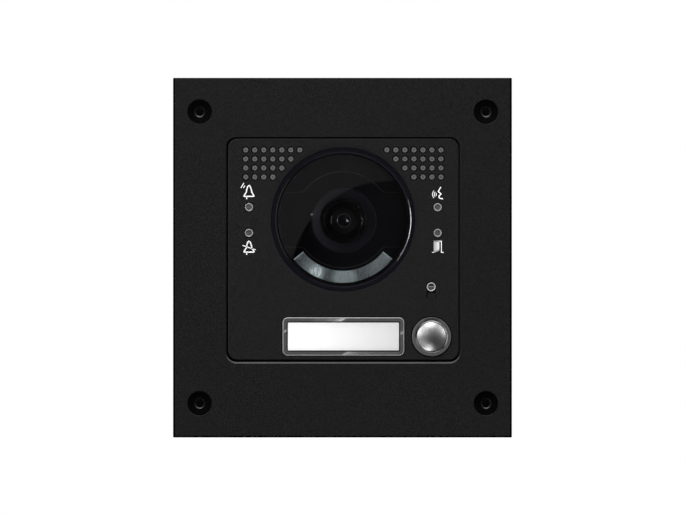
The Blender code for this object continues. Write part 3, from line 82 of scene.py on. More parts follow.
plate_low, plate_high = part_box("front_plate")
picture_width = (plate_high.x - plate_low.x) * PHOTO_WIDTH / PLATE_PIXELS
camera_data = bpy.data.cameras.new("front_camera")
camera_data.sensor_width = SENSOR_WIDTH
camera_data.lens = SENSOR_WIDTH * CAMERA_DISTANCE / picture_width
camera = added("front_camera", camera_data)
camera.location = (PICTURE_SHIFT, plate_low.y - CAMERA_DISTANCE, 0)
camera.rotation_euler = (math.radians(90), 0, 0)
scene.camera = camera
scene.view_settings.view_transform = "Standard"
print(f"lens {camera_data.lens:.1f} mm, picture {picture_width / MM:.1f} mm wide")

# %% [markdown]
# ## Shader nodes in code
# A shader is a graph, and a formula in it takes a node for each sum. A few small functions make that
# readable: each adds a node, feeds its inputs with sockets or plain numbers, and gives back its output.

# %% Helpers for shader nodes
def plug(tree, value, socket):
    """Feed an input: link it to a socket, or set it to a number."""
    if isinstance(value, bpy.types.NodeSocket):
        tree.links.new(value, socket)
    else:
        socket.default_value = value


def number(tree, operation, *values):
    """The output of a Math node on these sockets or numbers."""
    node = tree.nodes.new("ShaderNodeMath")
    node.operation = operation
    for socket, value in zip(node.inputs, values):
        plug(tree, value, socket)
    return node.outputs["Value"]


def spread(tree, value, start, end, low, high):
    """Map a value from start..end to low..high, and hold it there outside."""
    node = tree.nodes.new("ShaderNodeMapRange")
    sockets = ("Value", "From Min", "From Max", "To Min", "To Max")
    for socket, what in zip(sockets, (value, start, end, low, high)):
        plug(tree, what, node.inputs[socket])
    return node.outputs["Result"]


def coordinates(tree, kind="Object"):
    """Where a point is in its object, in metres. Generated gives the room its directions."""
    return tree.nodes.new("ShaderNodeTexCoord").outputs[kind]


def axes(tree, kind="Object"):
    """The coordinates as three sockets, named X, Y and Z."""
    parts = tree.nodes.new("ShaderNodeSeparateXYZ")
    tree.links.new(coordinates(tree, kind), parts.inputs["Vector"])
    return parts.outputs


# %% [markdown]
# ## The room
# A glossy black panel is mostly a picture of the room in front of it. Here the room is dim, with a
# round black flag about the camera, whose edge shows as the curved glare line on the window dome.
# Behind the panel the room is bright, and the camera itself sees plain white paper.
# All of this is one world shader that works from the direction of the ray.

# %% Paint the room
FLAG_CENTRE = (0.285, -0.359)
FLAG_RADIUS = 0.5925
FLAG_EDGE = 0.001
FLAG_LEVELS = (0.003, 0.021)
FLAG_FADE = (-0.15, 0.35)
ROOM_LEVEL = 0.085
BACK_LEVEL = 1.0
BACK_START, BACK_END = -0.12, 0.12
LEAST_AHEAD = 0.001

room = bpy.data.worlds.new("studio_room")
room.use_nodes = True
scene.world = room
tree = room.node_tree
ray = axes(tree, "Generated")
ahead = number(tree, "MAXIMUM", number(tree, "MULTIPLY", ray["Y"], -1.0), LEAST_AHEAD)
sideways = number(tree, "DIVIDE", ray["X"], ahead)
upwards = number(tree, "DIVIDE", ray["Z"], ahead)
squares = [number(tree, "POWER", number(tree, "SUBTRACT", along, centre), 2.0)
           for along, centre in zip((sideways, upwards), FLAG_CENTRE)]
from_centre = number(tree, "SQRT", number(tree, "ADD", *squares))
flag = spread(tree, sideways, *FLAG_FADE, *FLAG_LEVELS)
front = spread(tree, from_centre, FLAG_RADIUS - FLAG_EDGE, FLAG_RADIUS + FLAG_EDGE, flag, ROOM_LEVEL)
level = spread(tree, ray["Y"], BACK_START, BACK_END, front, BACK_LEVEL)
sees_camera = tree.nodes.new("ShaderNodeLightPath").outputs["Is Camera Ray"]
background = tree.nodes["Background"].inputs
background["Color"].default_value = (1, 1, 1, 1)
tree.links.new(number(tree, "MAXIMUM", level, sees_camera), background["Strength"])
print(f"room {ROOM_LEVEL} in front, {BACK_LEVEL} behind, flag {FLAG_LEVELS}")

# %% [markdown]
# ## Softboxes and floor
# Most of the light comes from a wide softbox above the panel, with weaker ones at the left, at the
# right and low on the left. They stand well off the camera's axis, so that the flat black faces stay
# black and only rounded edges and the screws catch them. The floor is a pale round board below the
# panel: it shows only when the camera is raised, and glossy parts don't mirror it.

# %% Hang the softboxes
FACE_CENTRE = Vector((0, plate_low.y, 0))
MAIN_LIGHTS = {
    "softbox_top": ((-0.05, -0.36, 0.86), 0.95, 0.50, 10.5),
    "softbox_left": ((-0.92, -0.50, 0.18), 0.45, 0.90, 4.5),
    "softbox_right": ((0.95, -0.42, -0.05), 0.35, 0.60, 4.0),
    "softbox_low": ((-0.48, -0.42, -0.66), 0.50, 0.34, 2.2),
}


def softbox(name, place, width, height, radiance, turn=0):
    """An area light that faces the panel, with the brightness of its surface, turned by degrees."""
    data = bpy.data.lights.new(name, "AREA")
    data.shape = "RECTANGLE"
    data.size = width
    data.size_y = height
    data.energy = radiance * math.pi * width * height
    light = added(name, data)
    light.location = place
    aim = (FACE_CENTRE - Vector(place)).to_track_quat("-Z", "Y")
    light.rotation_euler = (aim @ Quaternion((0, 0, 1), math.radians(turn))).to_euler()
    light.visible_camera = False
    return light


main_lights = {name: softbox(name, *what) for name, what in MAIN_LIGHTS.items()}
print(len(main_lights), "softboxes")

# %% Lay the floor
FLOOR_Z = -0.60
FLOOR_RADIUS = 1.1
FLOOR_STEPS = 96
FLOOR_COLOUR = (0.86, 0.86, 0.85, 1)
FLOOR_ROUGH = 0.9


def from_bmesh(name, bm):
    """A new object from the faces of a bmesh."""
    mesh = bpy.data.meshes.new(name)
    bm.to_mesh(mesh)
    bm.free()
    return added(name, mesh)


def new_finish(name, **sockets):
    """A material with a Principled shader, whose sockets are set by name with _ for a space."""
    material = bpy.data.materials.new(name)
    material.use_nodes = True
    shader = material.node_tree.nodes["Principled BSDF"]
    for socket, value in sockets.items():
        shader.inputs[socket.replace("_", " ")].default_value = value
    return material, material.node_tree, shader


board = bmesh.new()
bmesh.ops.create_circle(board, cap_ends=True, radius=FLOOR_RADIUS, segments=FLOOR_STEPS)
bmesh.ops.translate(board, verts=board.verts, vec=(0, 0, FLOOR_Z))
floor = from_bmesh("floor", board)
floor.data.materials.append(new_finish("floor_paper", Base_Color=FLOOR_COLOUR, Roughness=FLOOR_ROUGH)[0])
floor.visible_glossy = False
floor.visible_transmission = False
print(f"floor at {FLOOR_Z} m")

# %% [markdown]
# ## Finishes
# Each finish is a short node tree on one Principled shader. A noise in object coordinates is the
# grain: it goes through a colour ramp for the colour, through a range for the roughness and through
# a bump for the relief. The scale is in features per metre, so 2000 is a grain of half a millimetre.
# What is the same all over a surface is set on the shader's own socket.

# %% Helpers for finishes
GRAIN_LOW, GRAIN_HIGH = 0.35, 0.65


def grain(tree, scale, detail=3.0, stretch=(1, 1, 1)):
    """Noise in object coordinates, and its output."""
    place = tree.nodes.new("ShaderNodeMapping")
    place.inputs["Scale"].default_value = stretch
    tree.links.new(coordinates(tree), place.inputs["Vector"])
    noise = tree.nodes.new("ShaderNodeTexNoise")
    noise.inputs["Scale"].default_value = scale
    noise.inputs["Detail"].default_value = detail
    tree.links.new(place.outputs["Vector"], noise.inputs["Vector"])
    return noise.outputs["Fac"]


def tint(tree, shader, value, dark, light, start=GRAIN_LOW, end=GRAIN_HIGH):
    """Colour the shader between two colours by a value."""
    ramp = tree.nodes.new("ShaderNodeValToRGB")
    for stop, position, colour in zip(ramp.color_ramp.elements, (start, end), (dark, light)):
        stop.position = position
        stop.color = (*colour, 1)
    tree.links.new(value, ramp.inputs["Fac"])
    tree.links.new(ramp.outputs["Color"], shader.inputs["Base Color"])


def relief(tree, shader, value, depth):
    """Raise the surface by a value, depth metres high."""
    bump = tree.nodes.new("ShaderNodeBump")
    bump.inputs["Strength"].default_value = 1.0
    bump.inputs["Distance"].default_value = depth
    tree.links.new(value, bump.inputs["Height"])
    tree.links.new(bump.outputs["Normal"], shader.inputs["Normal"])


def gloss(tree, shader, value, low, high):
    """Vary the roughness by a value."""
    tree.links.new(spread(tree, value, GRAIN_LOW, GRAIN_HIGH, low, high), shader.inputs["Roughness"])


# %% [markdown]
# The plate is powder coated: matt near-black with a fine orange-peel grain. The fascia is moulded
# plastic with a finer spark-eroded texture, a touch lighter. Gloss plastic, rubber and matt plastic
# are the same idea with other numbers, so one function makes them all from a table. A row gives the
# colour, its spread, the roughness from and to, the grain, its relief in millimetres and the shine.

# %% Painted and moulded finishes
PLASTICS = {
    "plate_paint": ((0.00665, 0.00665, 0.00675), 0.48, (0.50, 0.64), 2250, 0.045, 0.12),
    "fascia_plastic": ((0.0081, 0.0081, 0.0082), 0.50, (0.48, 0.60), 2500, 0.04, 0.13),
    "gloss_black": ((0.0080, 0.0078, 0.0115), 0.10, (0.05, 0.09), 900, 0.001),
    "matt_black": ((0.0060, 0.0060, 0.0065), 0.20, (0.55, 0.70), 2600, 0.02, 0.3),
    "mask_black": ((0.0080, 0.0079, 0.0112), 0.20, (0.60, 0.75), 2600, 0.02, 0.06),
    # Near-black: the own colour of the skirt and the blackened screws, and painted shade in gaps,
    # grooves, the name step and behind the speaker holes.
    "black_and_painted_shade": ((0.0006, 0.0006, 0.0007), 0.20, (0.50, 0.65), 1700, 0.02, 0.03),
    "lip_paint": ((0.0070, 0.0070, 0.0071), 0.20, (0.37, 0.45), 1700, 0.01, 0.18),
    "painted_highlight_grey": ((0.075, 0.075, 0.082), 0.10, (0.26, 0.34), 2400, 0.002),
    "port_grey": ((0.40, 0.40, 0.40), 0.08, (0.25, 0.35), 1500, 0.005),
    "lens_black": ((0.0030, 0.0030, 0.0040), 0.20, (0.35, 0.45), 2600, 0.005, 0.2),
    "rubber": ((0.0110, 0.0110, 0.0112), 0.25, (0.75, 0.92), 1500, 0.03),
    "white_part": ((0.72, 0.71, 0.68), 0.04, (0.35, 0.45), 1200, 0.01),
    "terminal_green": ((0.020, 0.190, 0.060), 0.08, (0.34, 0.46), 1600, 0.01),
    "painted_edge_highlight": ((0.036, 0.036, 0.040), 0.20, (0.45, 0.55), 2400, 0.01, 0.15),
    "rim_black": ((0.0040, 0.0040, 0.0050), 0.20, (0.16, 0.22), 2600, 0.001, 0.2),
    "bezel_grey": ((0.0208, 0.0210, 0.0300), 0.20, (0.45, 0.55), 2400, 0.01, 0.15),
    "sensor_black": ((0.0060, 0.0060, 0.0080), 0.10, (0.18, 0.28), 1500, 0.005),
    "sign_white": ((0.92, 0.92, 0.91), 0.03, (0.50, 0.60), 3000, 0.005),
    "border_plastic": ((0.070, 0.070, 0.072), 0.06, (0.005, 0.012), 800, 0.00002),
}


def moulded(name, colour, spread_of_colour, rough, scale, depth, specular=0.5, **sockets):
    """A plastic, paint or rubber from one row of the table, with other sockets by name."""
    material, tree, shader = new_finish(name, Specular_IOR_Level=specular, **sockets)
    fine = grain(tree, scale)
    dark = [channel * (1 - spread_of_colour) for channel in colour]
    light = [channel * (1 + spread_of_colour) for channel in colour]
    tint(tree, shader, fine, dark, light)
    gloss(tree, shader, fine, *rough)
    relief(tree, shader, fine, depth * MM)
    return material


finishes = {name: moulded(name, *row) for name, row in PLASTICS.items()}
print(f"{len(finishes)} moulded and painted finishes")

# %% [markdown]
# The metals differ by their colour and by how they were worked: the sockets of the blackened screws are
# dark, bright screws show fine turning marks, and the button cap is satin chrome. A noise that is
# stretched along one axis gives the marks. A row gives the colour, the roughness, the marks and their
# stretch, and where they differ, how metallic it is and the depth of the marks in millimetres.

# %% Metal finishes
METALS = {
    "steel": ((0.58, 0.57, 0.55), (0.25, 0.40), 900, (1, 6, 1)),
    "socket_steel": ((0.014, 0.014, 0.015), (0.40, 0.50), 1800, (1, 1, 1), 0.5),
    "lip_steel": ((0.14, 0.14, 0.14), (0.30, 0.38), 1800, (1, 1, 1)),
    "chrome": ((0.50, 0.50, 0.50), (0.40, 0.44), 2500, (1, 1, 1), 1.0, 0.0003),
}
MARK_SHADE = 0.92


def worked_metal(name, colour, rough, scale, stretch, metallic=1.0, depth=0.002):
    """A metal with fine marks, from one row of the table."""
    material, tree, shader = new_finish(name, Metallic=metallic)
    marks = grain(tree, scale, stretch=stretch)
    tint(tree, shader, marks, [channel * MARK_SHADE for channel in colour], colour)
    gloss(tree, shader, marks, *rough)
    relief(tree, shader, marks, depth * MM)
    return material


finishes.update({name: worked_metal(name, *row) for name, row in METALS.items()})
print(len(METALS), "metal finishes")

# %% [markdown]
# Clear parts bend and reflect light, so the dome is a Principled shader with full transmission. A faint
# wave in the relief keeps it from looking like computer glass. The pane over the card is
# a thin sheet: there a low alpha is enough, and the card's light passes straight through it.
# The frosted parts scatter light inside, which a pale grey with some subsurface light gives.

# %% Clear and frosted finishes
CLEAR_IOR, WAVES, WAVE_DEPTH = 1.55, 60, 0.0002 * MM
PANE_GREY, PANE_ALPHA, PANE_IOR = (0.9, 0.9, 0.9, 1), 0.06, 1.49
SMEARS, SMEAR_ROUGH = 300, (0.03, 0.06)
FROSTED = {
    "frosted_plastic": ((0.25, 0.25, 0.25), 0.10, (0.25, 0.40), 1500, 0.01),
    # A darker copy of the frosted plastic, painted as shade in the pipes' cores and the microphone's
    # floor.
    "frosted_painted_shade": ((0.070, 0.070, 0.072), 0.15, (0.30, 0.45), 1500, 0.01),
    # A lighter grey painted as the highlight along the name window's edge.
    "edge_painted_highlight": ((0.25, 0.25, 0.25), 0.08, (0.12, 0.20), 900, 0.002),
}
SCATTER = {"Subsurface_Weight": 0.3, "Subsurface_Radius": (0.6 * MM,) * 3, "Subsurface_Scale": 1.0}

finishes["clear_plastic"], tree, shader = new_finish(
    "clear_plastic", Base_Color=(1, 1, 1, 1), Roughness=0.0, IOR=CLEAR_IOR, Transmission_Weight=1.0)
relief(tree, shader, grain(tree, WAVES, detail=1.0), WAVE_DEPTH)
finishes["thin_pane"], tree, shader = new_finish(
    "thin_pane", Base_Color=PANE_GREY, Alpha=PANE_ALPHA, IOR=PANE_IOR)
gloss(tree, shader, grain(tree, SMEARS), *SMEAR_ROUGH)
finishes.update({name: moulded(name, *row, **SCATTER) for name, row in FROSTED.items()})
print(f"{len(finishes)} finishes with the clear and frosted ones")

# %% [markdown]
# The circuit board is green varnish over copper tracks, and a brick texture on its face draws them.
# The lens is dark glass, whose violet coating is a tint on its reflections.

# %% Board and lens finishes
VARNISH, TRACK = (0.008, 0.055, 0.022), (0.03, 0.15, 0.06)
TRACKS, TRACK_GAP, TRACK_EDGE, TRACK_RELIEF = 400, 0.03, (0.2, 0.8), 0.02 * MM
LENS_COLOUR, LENS_CLOUDS, LENS_SHADE = (0.0055, 0.0052, 0.0080), 200, 0.8
COATING = {"Specular_Tint": (0.82, 0.74, 1.0, 1), "Specular_IOR_Level": 0.30}

finishes["circuit_board"], tree, shader = new_finish("circuit_board", Roughness=0.32)
upright = tree.nodes.new("ShaderNodeMapping")
upright.inputs["Rotation"].default_value = (math.radians(90), 0, 0)
tree.links.new(coordinates(tree), upright.inputs["Vector"])
brick = tree.nodes.new("ShaderNodeTexBrick")
brick.inputs["Scale"].default_value = TRACKS
brick.inputs["Mortar Size"].default_value = TRACK_GAP
tree.links.new(upright.outputs["Vector"], brick.inputs["Vector"])
tint(tree, shader, brick.outputs["Fac"], VARNISH, TRACK, *TRACK_EDGE)
relief(tree, shader, brick.outputs["Fac"], TRACK_RELIEF)

finishes["lens_glass"], tree, shader = new_finish("lens_glass", Roughness=0.04, IOR=1.5, **COATING)
lens_dark = [channel * LENS_SHADE for channel in LENS_COLOUR]
tint(tree, shader, grain(tree, LENS_CLOUDS), lens_dark, LENS_COLOUR)
print(f"{len(finishes)} finishes with the board and the lens")

# %% [markdown]
# ## Tools for meshes
# Nearly every piece here is a profile carried round an outline: a turned part is a profile round
# a circle, and a frame is the same profile round a rounded rectangle. The outline is a function that
# gives its points at a size, so a profile of (size, depth) pairs becomes rings of points, skinned
# with quads. Round edges are put in the profile itself, because that keeps the mesh clean.

# %% Outlines
LEAST_CORNER = 0.05 * MM


def polar(centre, radius_at, steps):
    """Outline whose radius is a function of the angle: its size is how far it is grown."""
    def outline(grow):
        points = []
        for step in range(steps):
            angle = 2 * math.pi * step / steps
            radius = radius_at(angle) + grow
            points.append((centre[0] + radius * math.cos(angle), centre[1] + radius * math.sin(angle)))
        return points
    return outline


def disc(centre, steps=64):
    """Outline of a circle: its size is the radius."""
    return polar(centre, lambda angle: 0, steps)


def rounded_box(low, high, corner, steps=8):
    """Outline of a rounded rectangle between two corners: its size is how far it is grown."""
    def outline(grow):
        radius = max(corner + grow, LEAST_CORNER)
        left, right = low[0] - grow + radius, high[0] + grow - radius
        bottom, top = low[1] - grow + radius, high[1] + grow - radius
        points = []
        for quarter, (x, z) in enumerate(((right, top), (left, top), (left, bottom), (right, bottom))):
            for step in range(steps + 1):
                angle = math.radians(90 * (quarter + step / steps))
                points.append((x + radius * math.cos(angle), z + radius * math.sin(angle)))
        return points
    return outline


def lowered(outline):
    """The same outline, moved down by as much as it is grown."""
    return lambda grow: [(x, z - grow) for x, z in outline(grow)]


# %% Profiles
MOST_OF_SIDE = 0.45
DOME_TIP = 0.02


def band(inner, outer, front, back):
    """Profile of a ring with a rectangular section, to be swept as a loop."""
    return [(inner, front), (outer, front), (outer, back), (inner, back)]


def softened(points, radius, loop=False, steps=4):
    """Round the corners of a profile with small curves."""
    result = []
    for index, point in enumerate(points):
        if not loop and index in (0, len(points) - 1):
            result.append(point)
            continue
        corner = Vector(point)
        before = Vector(points[index - 1]) - corner
        after = Vector(points[(index + 1) % len(points)]) - corner
        reach = min(radius, before.length * MOST_OF_SIDE, after.length * MOST_OF_SIDE)
        start = corner + before.normalized() * reach
        end = corner + after.normalized() * reach
        for step in range(steps + 1):
            t = step / steps
            result.append(tuple(start * (1 - t) ** 2 + corner * 2 * t * (1 - t) + end * t ** 2))
    return result


def round_over(radius, face, steps=5, size=0):
    """Profile of a round outer edge, from the side at that size up to the face."""
    angles = [math.radians(90 * step / steps) for step in range(steps + 1)]
    return [(size - radius * (1 - math.cos(a)), face + radius * (1 - math.sin(a))) for a in angles]


def dome(radius, rise, edge, steps=16):
    """Profile of a shallow dome, from its middle out to its edge at that depth."""
    sphere = (radius ** 2 + rise ** 2) / (2 * rise)
    reaches = [radius * max(step, DOME_TIP) / steps for step in range(steps + 1)]
    return [(reach, edge - math.sqrt(sphere ** 2 - reach ** 2) + sphere - rise) for reach in reaches]


# %% Sweep, join and cut
def solid(name, points, faces):
    """An object from points and faces, with every face turned outwards."""
    mesh = bpy.data.meshes.new(name)
    mesh.from_pydata(points, [], faces)
    bm = bmesh.new()
    bm.from_mesh(mesh)
    bmesh.ops.recalc_face_normals(bm, faces=bm.faces)
    bm.to_mesh(mesh)
    bm.free()
    return added(name, mesh)


def sweep(name, outline, profile, loop=False):
    """Skin a profile of (size, depth) pairs round an outline. A loop is a ring, and others have ends."""
    rings = [[(x, depth, z) for x, z in outline(size)] for size, depth in profile]
    count = len(rings[0])
    faces = []
    for row in range(len(rings) if loop else len(rings) - 1):
        here, there = row * count, (row + 1) % len(rings) * count
        for point in range(count):
            beside = (point + 1) % count
            faces.append((here + point, here + beside, there + beside, there + point))
    if not loop:
        faces.append(range(count))
        faces.append(range((len(rings) - 1) * count, len(rings) * count))
    return solid(name, [point for row in rings for point in row], faces)


def hoop(name, outline, profile, soft, steps=4):
    """A ring round an outline, with the corners of its profile softened."""
    return sweep(name, outline, softened(profile, soft, loop=True, steps=steps), loop=True)


def joined(name, pieces):
    """One object from the meshes of several, which are removed."""
    bm = bmesh.new()
    for piece in pieces:
        bm.from_mesh(piece.data)
        bpy.data.objects.remove(piece)
    return from_bmesh(name, bm)


def cut(piece, *cutters):
    """Take the cutters out of a piece with a Boolean, and keep the result as its mesh."""
    tool = joined("cutter", cutters)
    boolean = piece.modifiers.new("cut", "BOOLEAN")
    boolean.object = tool
    boolean.operation = "DIFFERENCE"
    graph = bpy.context.evaluated_depsgraph_get()
    mesh = bpy.data.meshes.new_from_object(piece.evaluated_get(graph))
    piece.modifiers.clear()
    piece.data = mesh
    bpy.data.objects.remove(tool)
    return piece


# %% Tie a piece to the frame
def dress(piece, finish, slot, *stands_for, body="panel", sharp=38):
    """Shade a piece, give it its finish, and tie it to the frame."""
    piece.data.materials.clear()
    piece.data.materials.append(finishes[finish])
    piece.data.shade_smooth()
    piece.data.set_sharp_from_angle(angle=math.radians(sharp))
    weighted = piece.modifiers.new("even_shading", "WEIGHTED_NORMAL")
    weighted.keep_sharp = True
    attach(piece, body)
    if stands_for:
        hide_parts(*stands_for)
    print(f"{piece.name}: {len(piece.data.polygons)} faces, {finish}")
    return piece


def middle_of(node):
    """The middle of a CAD node, seen from the front."""
    low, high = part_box(node)
    return ((low.x + high.x) / 2, (low.z + high.z) / 2)


# %% [markdown]
# ## Front plate
# The plate is a shallow pan: a painted face with crisp edges, and a darker skirt towards the wall that
# shows as a thin black line on three sides. It has a countersunk hole in each corner and an opening for
# the module. The opening's lower edge is chamfered, and catches the top light as a bright line: the
# cutter's outline moves down as it grows, so its mouth is wide below and tight above. A thin lip of
# smoother paint lies on the chamfer, because a painted edge is less grainy than a face.

# %% Make the plate's skirt
PLATE_SHIFT = Vector((-0.25 * MM, 0))
PLATE_CORNER = 0.5 * MM
SKIRT_WALL = 2.5 * MM
SKIRT_STEP = 0.8 * MM
SKIRT_OUT = Vector((0.30 * MM, 0.15 * MM))

face_y, skirt_y = plate_low.y, plate_high.y
rim_low = plate_low.xz + PLATE_SHIFT - SKIRT_OUT
rim_high = plate_high.xz + PLATE_SHIFT
skirt = sweep("front_plate_skirt", rounded_box(rim_low, rim_high, PLATE_CORNER),
              band(-SKIRT_WALL, 0, face_y + SKIRT_STEP, skirt_y), loop=True)
dress(skirt, "black_and_painted_shade", "plate_paint")

# %% Make the painted plate
PLATE_EDGE = 0.25 * MM
PLATE_SKIN = 3.0 * MM
SKIRT_SIDES, SKIRT_BELOW, SKIRT_ABOVE = 0.92 * MM, 0.82 * MM, 0.05 * MM
OPENING_CORNER = 4.5 * MM
GAP_LEFT, GAP_RIGHT, GAP_ABOVE, GAP_BELOW = 0.65 * MM, 0.30 * MM, 0.4 * MM, 0.97 * MM
LIP_GROWTH, LIP_DEPTH, LIP_SKIN = 0.33 * MM, 0.44 * MM, 0.05 * MM
SINK_RADIUS, SINK_EDGE = 5.65 * MM, 0.25 * MM
SCREW_RADIUS = 2.5 * MM
OVERRUN = 1.0 * MM
CORNERS = [f"{row}_{side}" for row in ("upper", "lower") for side in ("left", "right")]

screw_places = {f"fixing_screw_{corner}": Vector(middle_of(f"fixing_screw_{corner}")) + PLATE_SHIFT
                for corner in CORNERS}
sheet_low = rim_low + Vector((SKIRT_SIDES, SKIRT_BELOW))
sheet_high = rim_high - Vector((SKIRT_SIDES, SKIRT_ABOVE))
plate = sweep("front_plate_paint", rounded_box(sheet_low, sheet_high, PLATE_CORNER),
              [(0, face_y + PLATE_SKIN)] + round_over(PLATE_EDGE, face_y))
housing_low, housing_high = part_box("rear_housing")
opening_low = housing_low.xz - Vector((GAP_LEFT, GAP_BELOW))
opening_high = housing_high.xz + Vector((GAP_RIGHT, GAP_ABOVE))
opening_outline = lowered(rounded_box(opening_low, opening_high, OPENING_CORNER))
opening_sides = [(0, skirt_y), (0, face_y + LIP_DEPTH + LIP_SKIN), (LIP_GROWTH, face_y + LIP_SKIN),
                 (3 * LIP_GROWTH, face_y - 2 * LIP_DEPTH + LIP_SKIN)]
sink_sides = [(SCREW_RADIUS, skirt_y), (SCREW_RADIUS, face_y + SINK_RADIUS - SCREW_RADIUS),
              (SINK_RADIUS - SINK_EDGE, face_y + SINK_EDGE * 2), (SINK_RADIUS, face_y),
              (SINK_RADIUS + SINK_EDGE, face_y - SINK_EDGE / 2),
              (SINK_RADIUS + SINK_EDGE, face_y - OVERRUN)]
sinks = [sweep("sink", disc(place), sink_sides) for place in screw_places.values()]
cut(plate, sweep("opening", opening_outline, opening_sides), *sinks)
dress(plate, "plate_paint", "plate_paint", "front_plate")

# %% Make the opening's lip
lip_sides = [(0, face_y + LIP_DEPTH), (LIP_GROWTH, face_y), (LIP_GROWTH, face_y + LIP_SKIN),
             (0, face_y + LIP_DEPTH + LIP_SKIN)]
plate_lip = sweep("front_plate_lip", opening_outline, lip_sides, loop=True)
dress(plate_lip, "lip_paint", "plate_paint")

# %% [markdown]
# ## Fixing screws
# Countersunk machine screws, blackened, with a round mouth that leads to a six-lobed socket round a pin.
# The mouth is a shallow cone, so its lower side turns the top light towards the camera as a crescent.
# The dished head and the pin are one piece, and the socket another in a slightly lighter steel.

# %% Make the fixing screws
AXIS = 0.1 * MM
HEAD_RADIUS, HEAD_DISH, HEAD_DEPTH, HEAD_SOFT = 5.25 * MM, 0.5 * MM, 2.7 * MM, 0.12 * MM
TIP_LENGTH, TIP_TAPER = 1.0 * MM, 0.8 * MM
MOUTH_RADIUS, MOUTH_DEPTH = 2.42 * MM, 0.45 * MM
SOCKET_RADIUS, SOCKET_FLOOR, SOCKET_BACK = 1.75 * MM, 0.60 * MM, 1.6 * MM
PIN_RADIUS, PIN_EDGE = 1.40 * MM, 0.30 * MM
LOBE_RADIUS, LOBE_WAVE, LOBE_DEPTH, LOBES = 1.55 * MM, 0.18 * MM, 0.5 * MM, 6


def lobed(angle):
    """The radius of the socket's star at an angle."""
    return LOBE_RADIUS + LOBE_WAVE * math.cos(LOBES * angle)


sockets = []
for screw_name, place in screw_places.items():
    low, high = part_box(screw_name)
    mouth_y = low.y + HEAD_DISH
    floor_y, back_y = mouth_y + SOCKET_FLOOR, mouth_y + SOCKET_BACK
    profile = [(AXIS, mouth_y), (MOUTH_RADIUS, mouth_y), (HEAD_RADIUS, low.y),
               (SCREW_RADIUS, low.y + HEAD_DEPTH), (SCREW_RADIUS, high.y - TIP_LENGTH),
               (SCREW_RADIUS - TIP_TAPER, high.y)]
    screw = sweep(f"{screw_name}_black", disc(place), softened(profile, HEAD_SOFT))
    cut(screw, sweep("hole", disc(place), [(MOUTH_RADIUS, back_y), (MOUTH_RADIUS, low.y - OVERRUN)]))
    pin = sweep("pin", disc(place, steps=48),
                [(PIN_RADIUS, floor_y + LOBE_DEPTH)] + round_over(PIN_EDGE, mouth_y, size=PIN_RADIUS))
    dress(joined(f"{screw_name}_black", [screw, pin]), "black_and_painted_shade", "black_steel", screw_name)
    cup = [(AXIS, back_y), (MOUTH_RADIUS, back_y), (MOUTH_RADIUS, mouth_y),
           (SOCKET_RADIUS, mouth_y + MOUTH_DEPTH), (SOCKET_RADIUS, floor_y), (AXIS, floor_y)]
    socket = sweep(f"{screw_name}_socket", disc(place), cup)
    star = [(0, floor_y + LOBE_DEPTH), (0, floor_y - OVERRUN / 2)]
    cut(socket, sweep("lobes", polar(place, lobed, steps=96), star))
    sockets.append(dress(socket, "socket_steel", "black_steel"))

# %% [markdown]
# ## Fascia
# The module's face is one moulding: a black textured slab with two fields of round holes for the
# speakers, a large round opening for the camera, small bores for the light pipes and microphone, and
# a pocket for the name window. Behind it are a wall, a flange that clamps against the plate, and
# posts for the circuit board. The bores are turned cutters with a flared mouth, cut in one go. Only
# the microphone's bore overlaps its drip groove, so those two are cut one after the other.

# %% Place the speaker holes
HOLE_RADIUS, HOLE_EDGE = 1.58 * MM, 0.08 * MM
HOLE_PITCH = 4.0 * MM
HOLE_ROWS = 4
HOLE_SIDE, HOLE_TOP = 8.0 * MM, 5.3 * MM
HOLE_WINDOW_GAP = 3.1 * MM
WINDOW_OUTER = 32.0 * MM
WINDOW_SHIFT = 0.15 * MM

fascia_low, fascia_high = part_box("module_fascia")
fascia_y = fascia_low.y
module_low, module_high = housing_low.xz, housing_high.xz
window_x, window_z = middle_of("window_ring")
window_place = (window_x - WINDOW_SHIFT, window_z)


def speaker_holes(side):
    """Places of the holes on one side: a grid from the upper corner that stops short of the window."""
    places = []
    for row in range(HOLE_ROWS):
        z = module_high.y - HOLE_TOP - row * HOLE_PITCH
        x = module_high.x - HOLE_SIDE
        while math.hypot(x, z - window_z) > WINDOW_OUTER + HOLE_WINDOW_GAP and x > HOLE_PITCH:
            places.append((side * x, z))
            x -= HOLE_PITCH
    return places


hole_places = {"left": speaker_holes(-1), "right": speaker_holes(1)}
print({side: len(places) for side, places in hole_places.items()}, "speaker holes")

# %% Find the places of the other openings
BUTTON_SHIFT = Vector((0.14 * MM, -0.20 * MM))
NAME_TRIM_LOW = Vector((0.17 * MM, 0, 0.08 * MM))
NAME_TRIM_HIGH = Vector((0.13 * MM, 0, 0.28 * MM))

pipe_places = {corner: middle_of(f"light_pipe_{corner}") for corner in CORNERS}
microphone_place = middle_of("microphone_port")
button_place = tuple(Vector(middle_of("button_ring")) + BUTTON_SHIFT)
name_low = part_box("name_window")[0] + NAME_TRIM_LOW
name_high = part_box("name_window")[1] - NAME_TRIM_HIGH
print(f"microphone {microphone_place}, button {button_place}")

# %% Tools for the fascia's openings
FASCIA_SKIN = 3.0 * MM
MOUTH_EDGE = 0.08 * MM
MOUTH_STEPS = 4

fascia_back = fascia_y + FASCIA_SKIN


def bore(place, radius, edge=MOUTH_EDGE, steps=48):
    """A cutter for a round hole through the fascia's skin, with a round mouth."""
    mouth = [(radius - grow, depth) for grow, depth in round_over(edge, fascia_y, MOUTH_STEPS)]
    sides = [(radius, fascia_back + OVERRUN)] + mouth + [(radius + edge, fascia_y - OVERRUN)]
    return sweep("bore", disc(place, steps), sides)


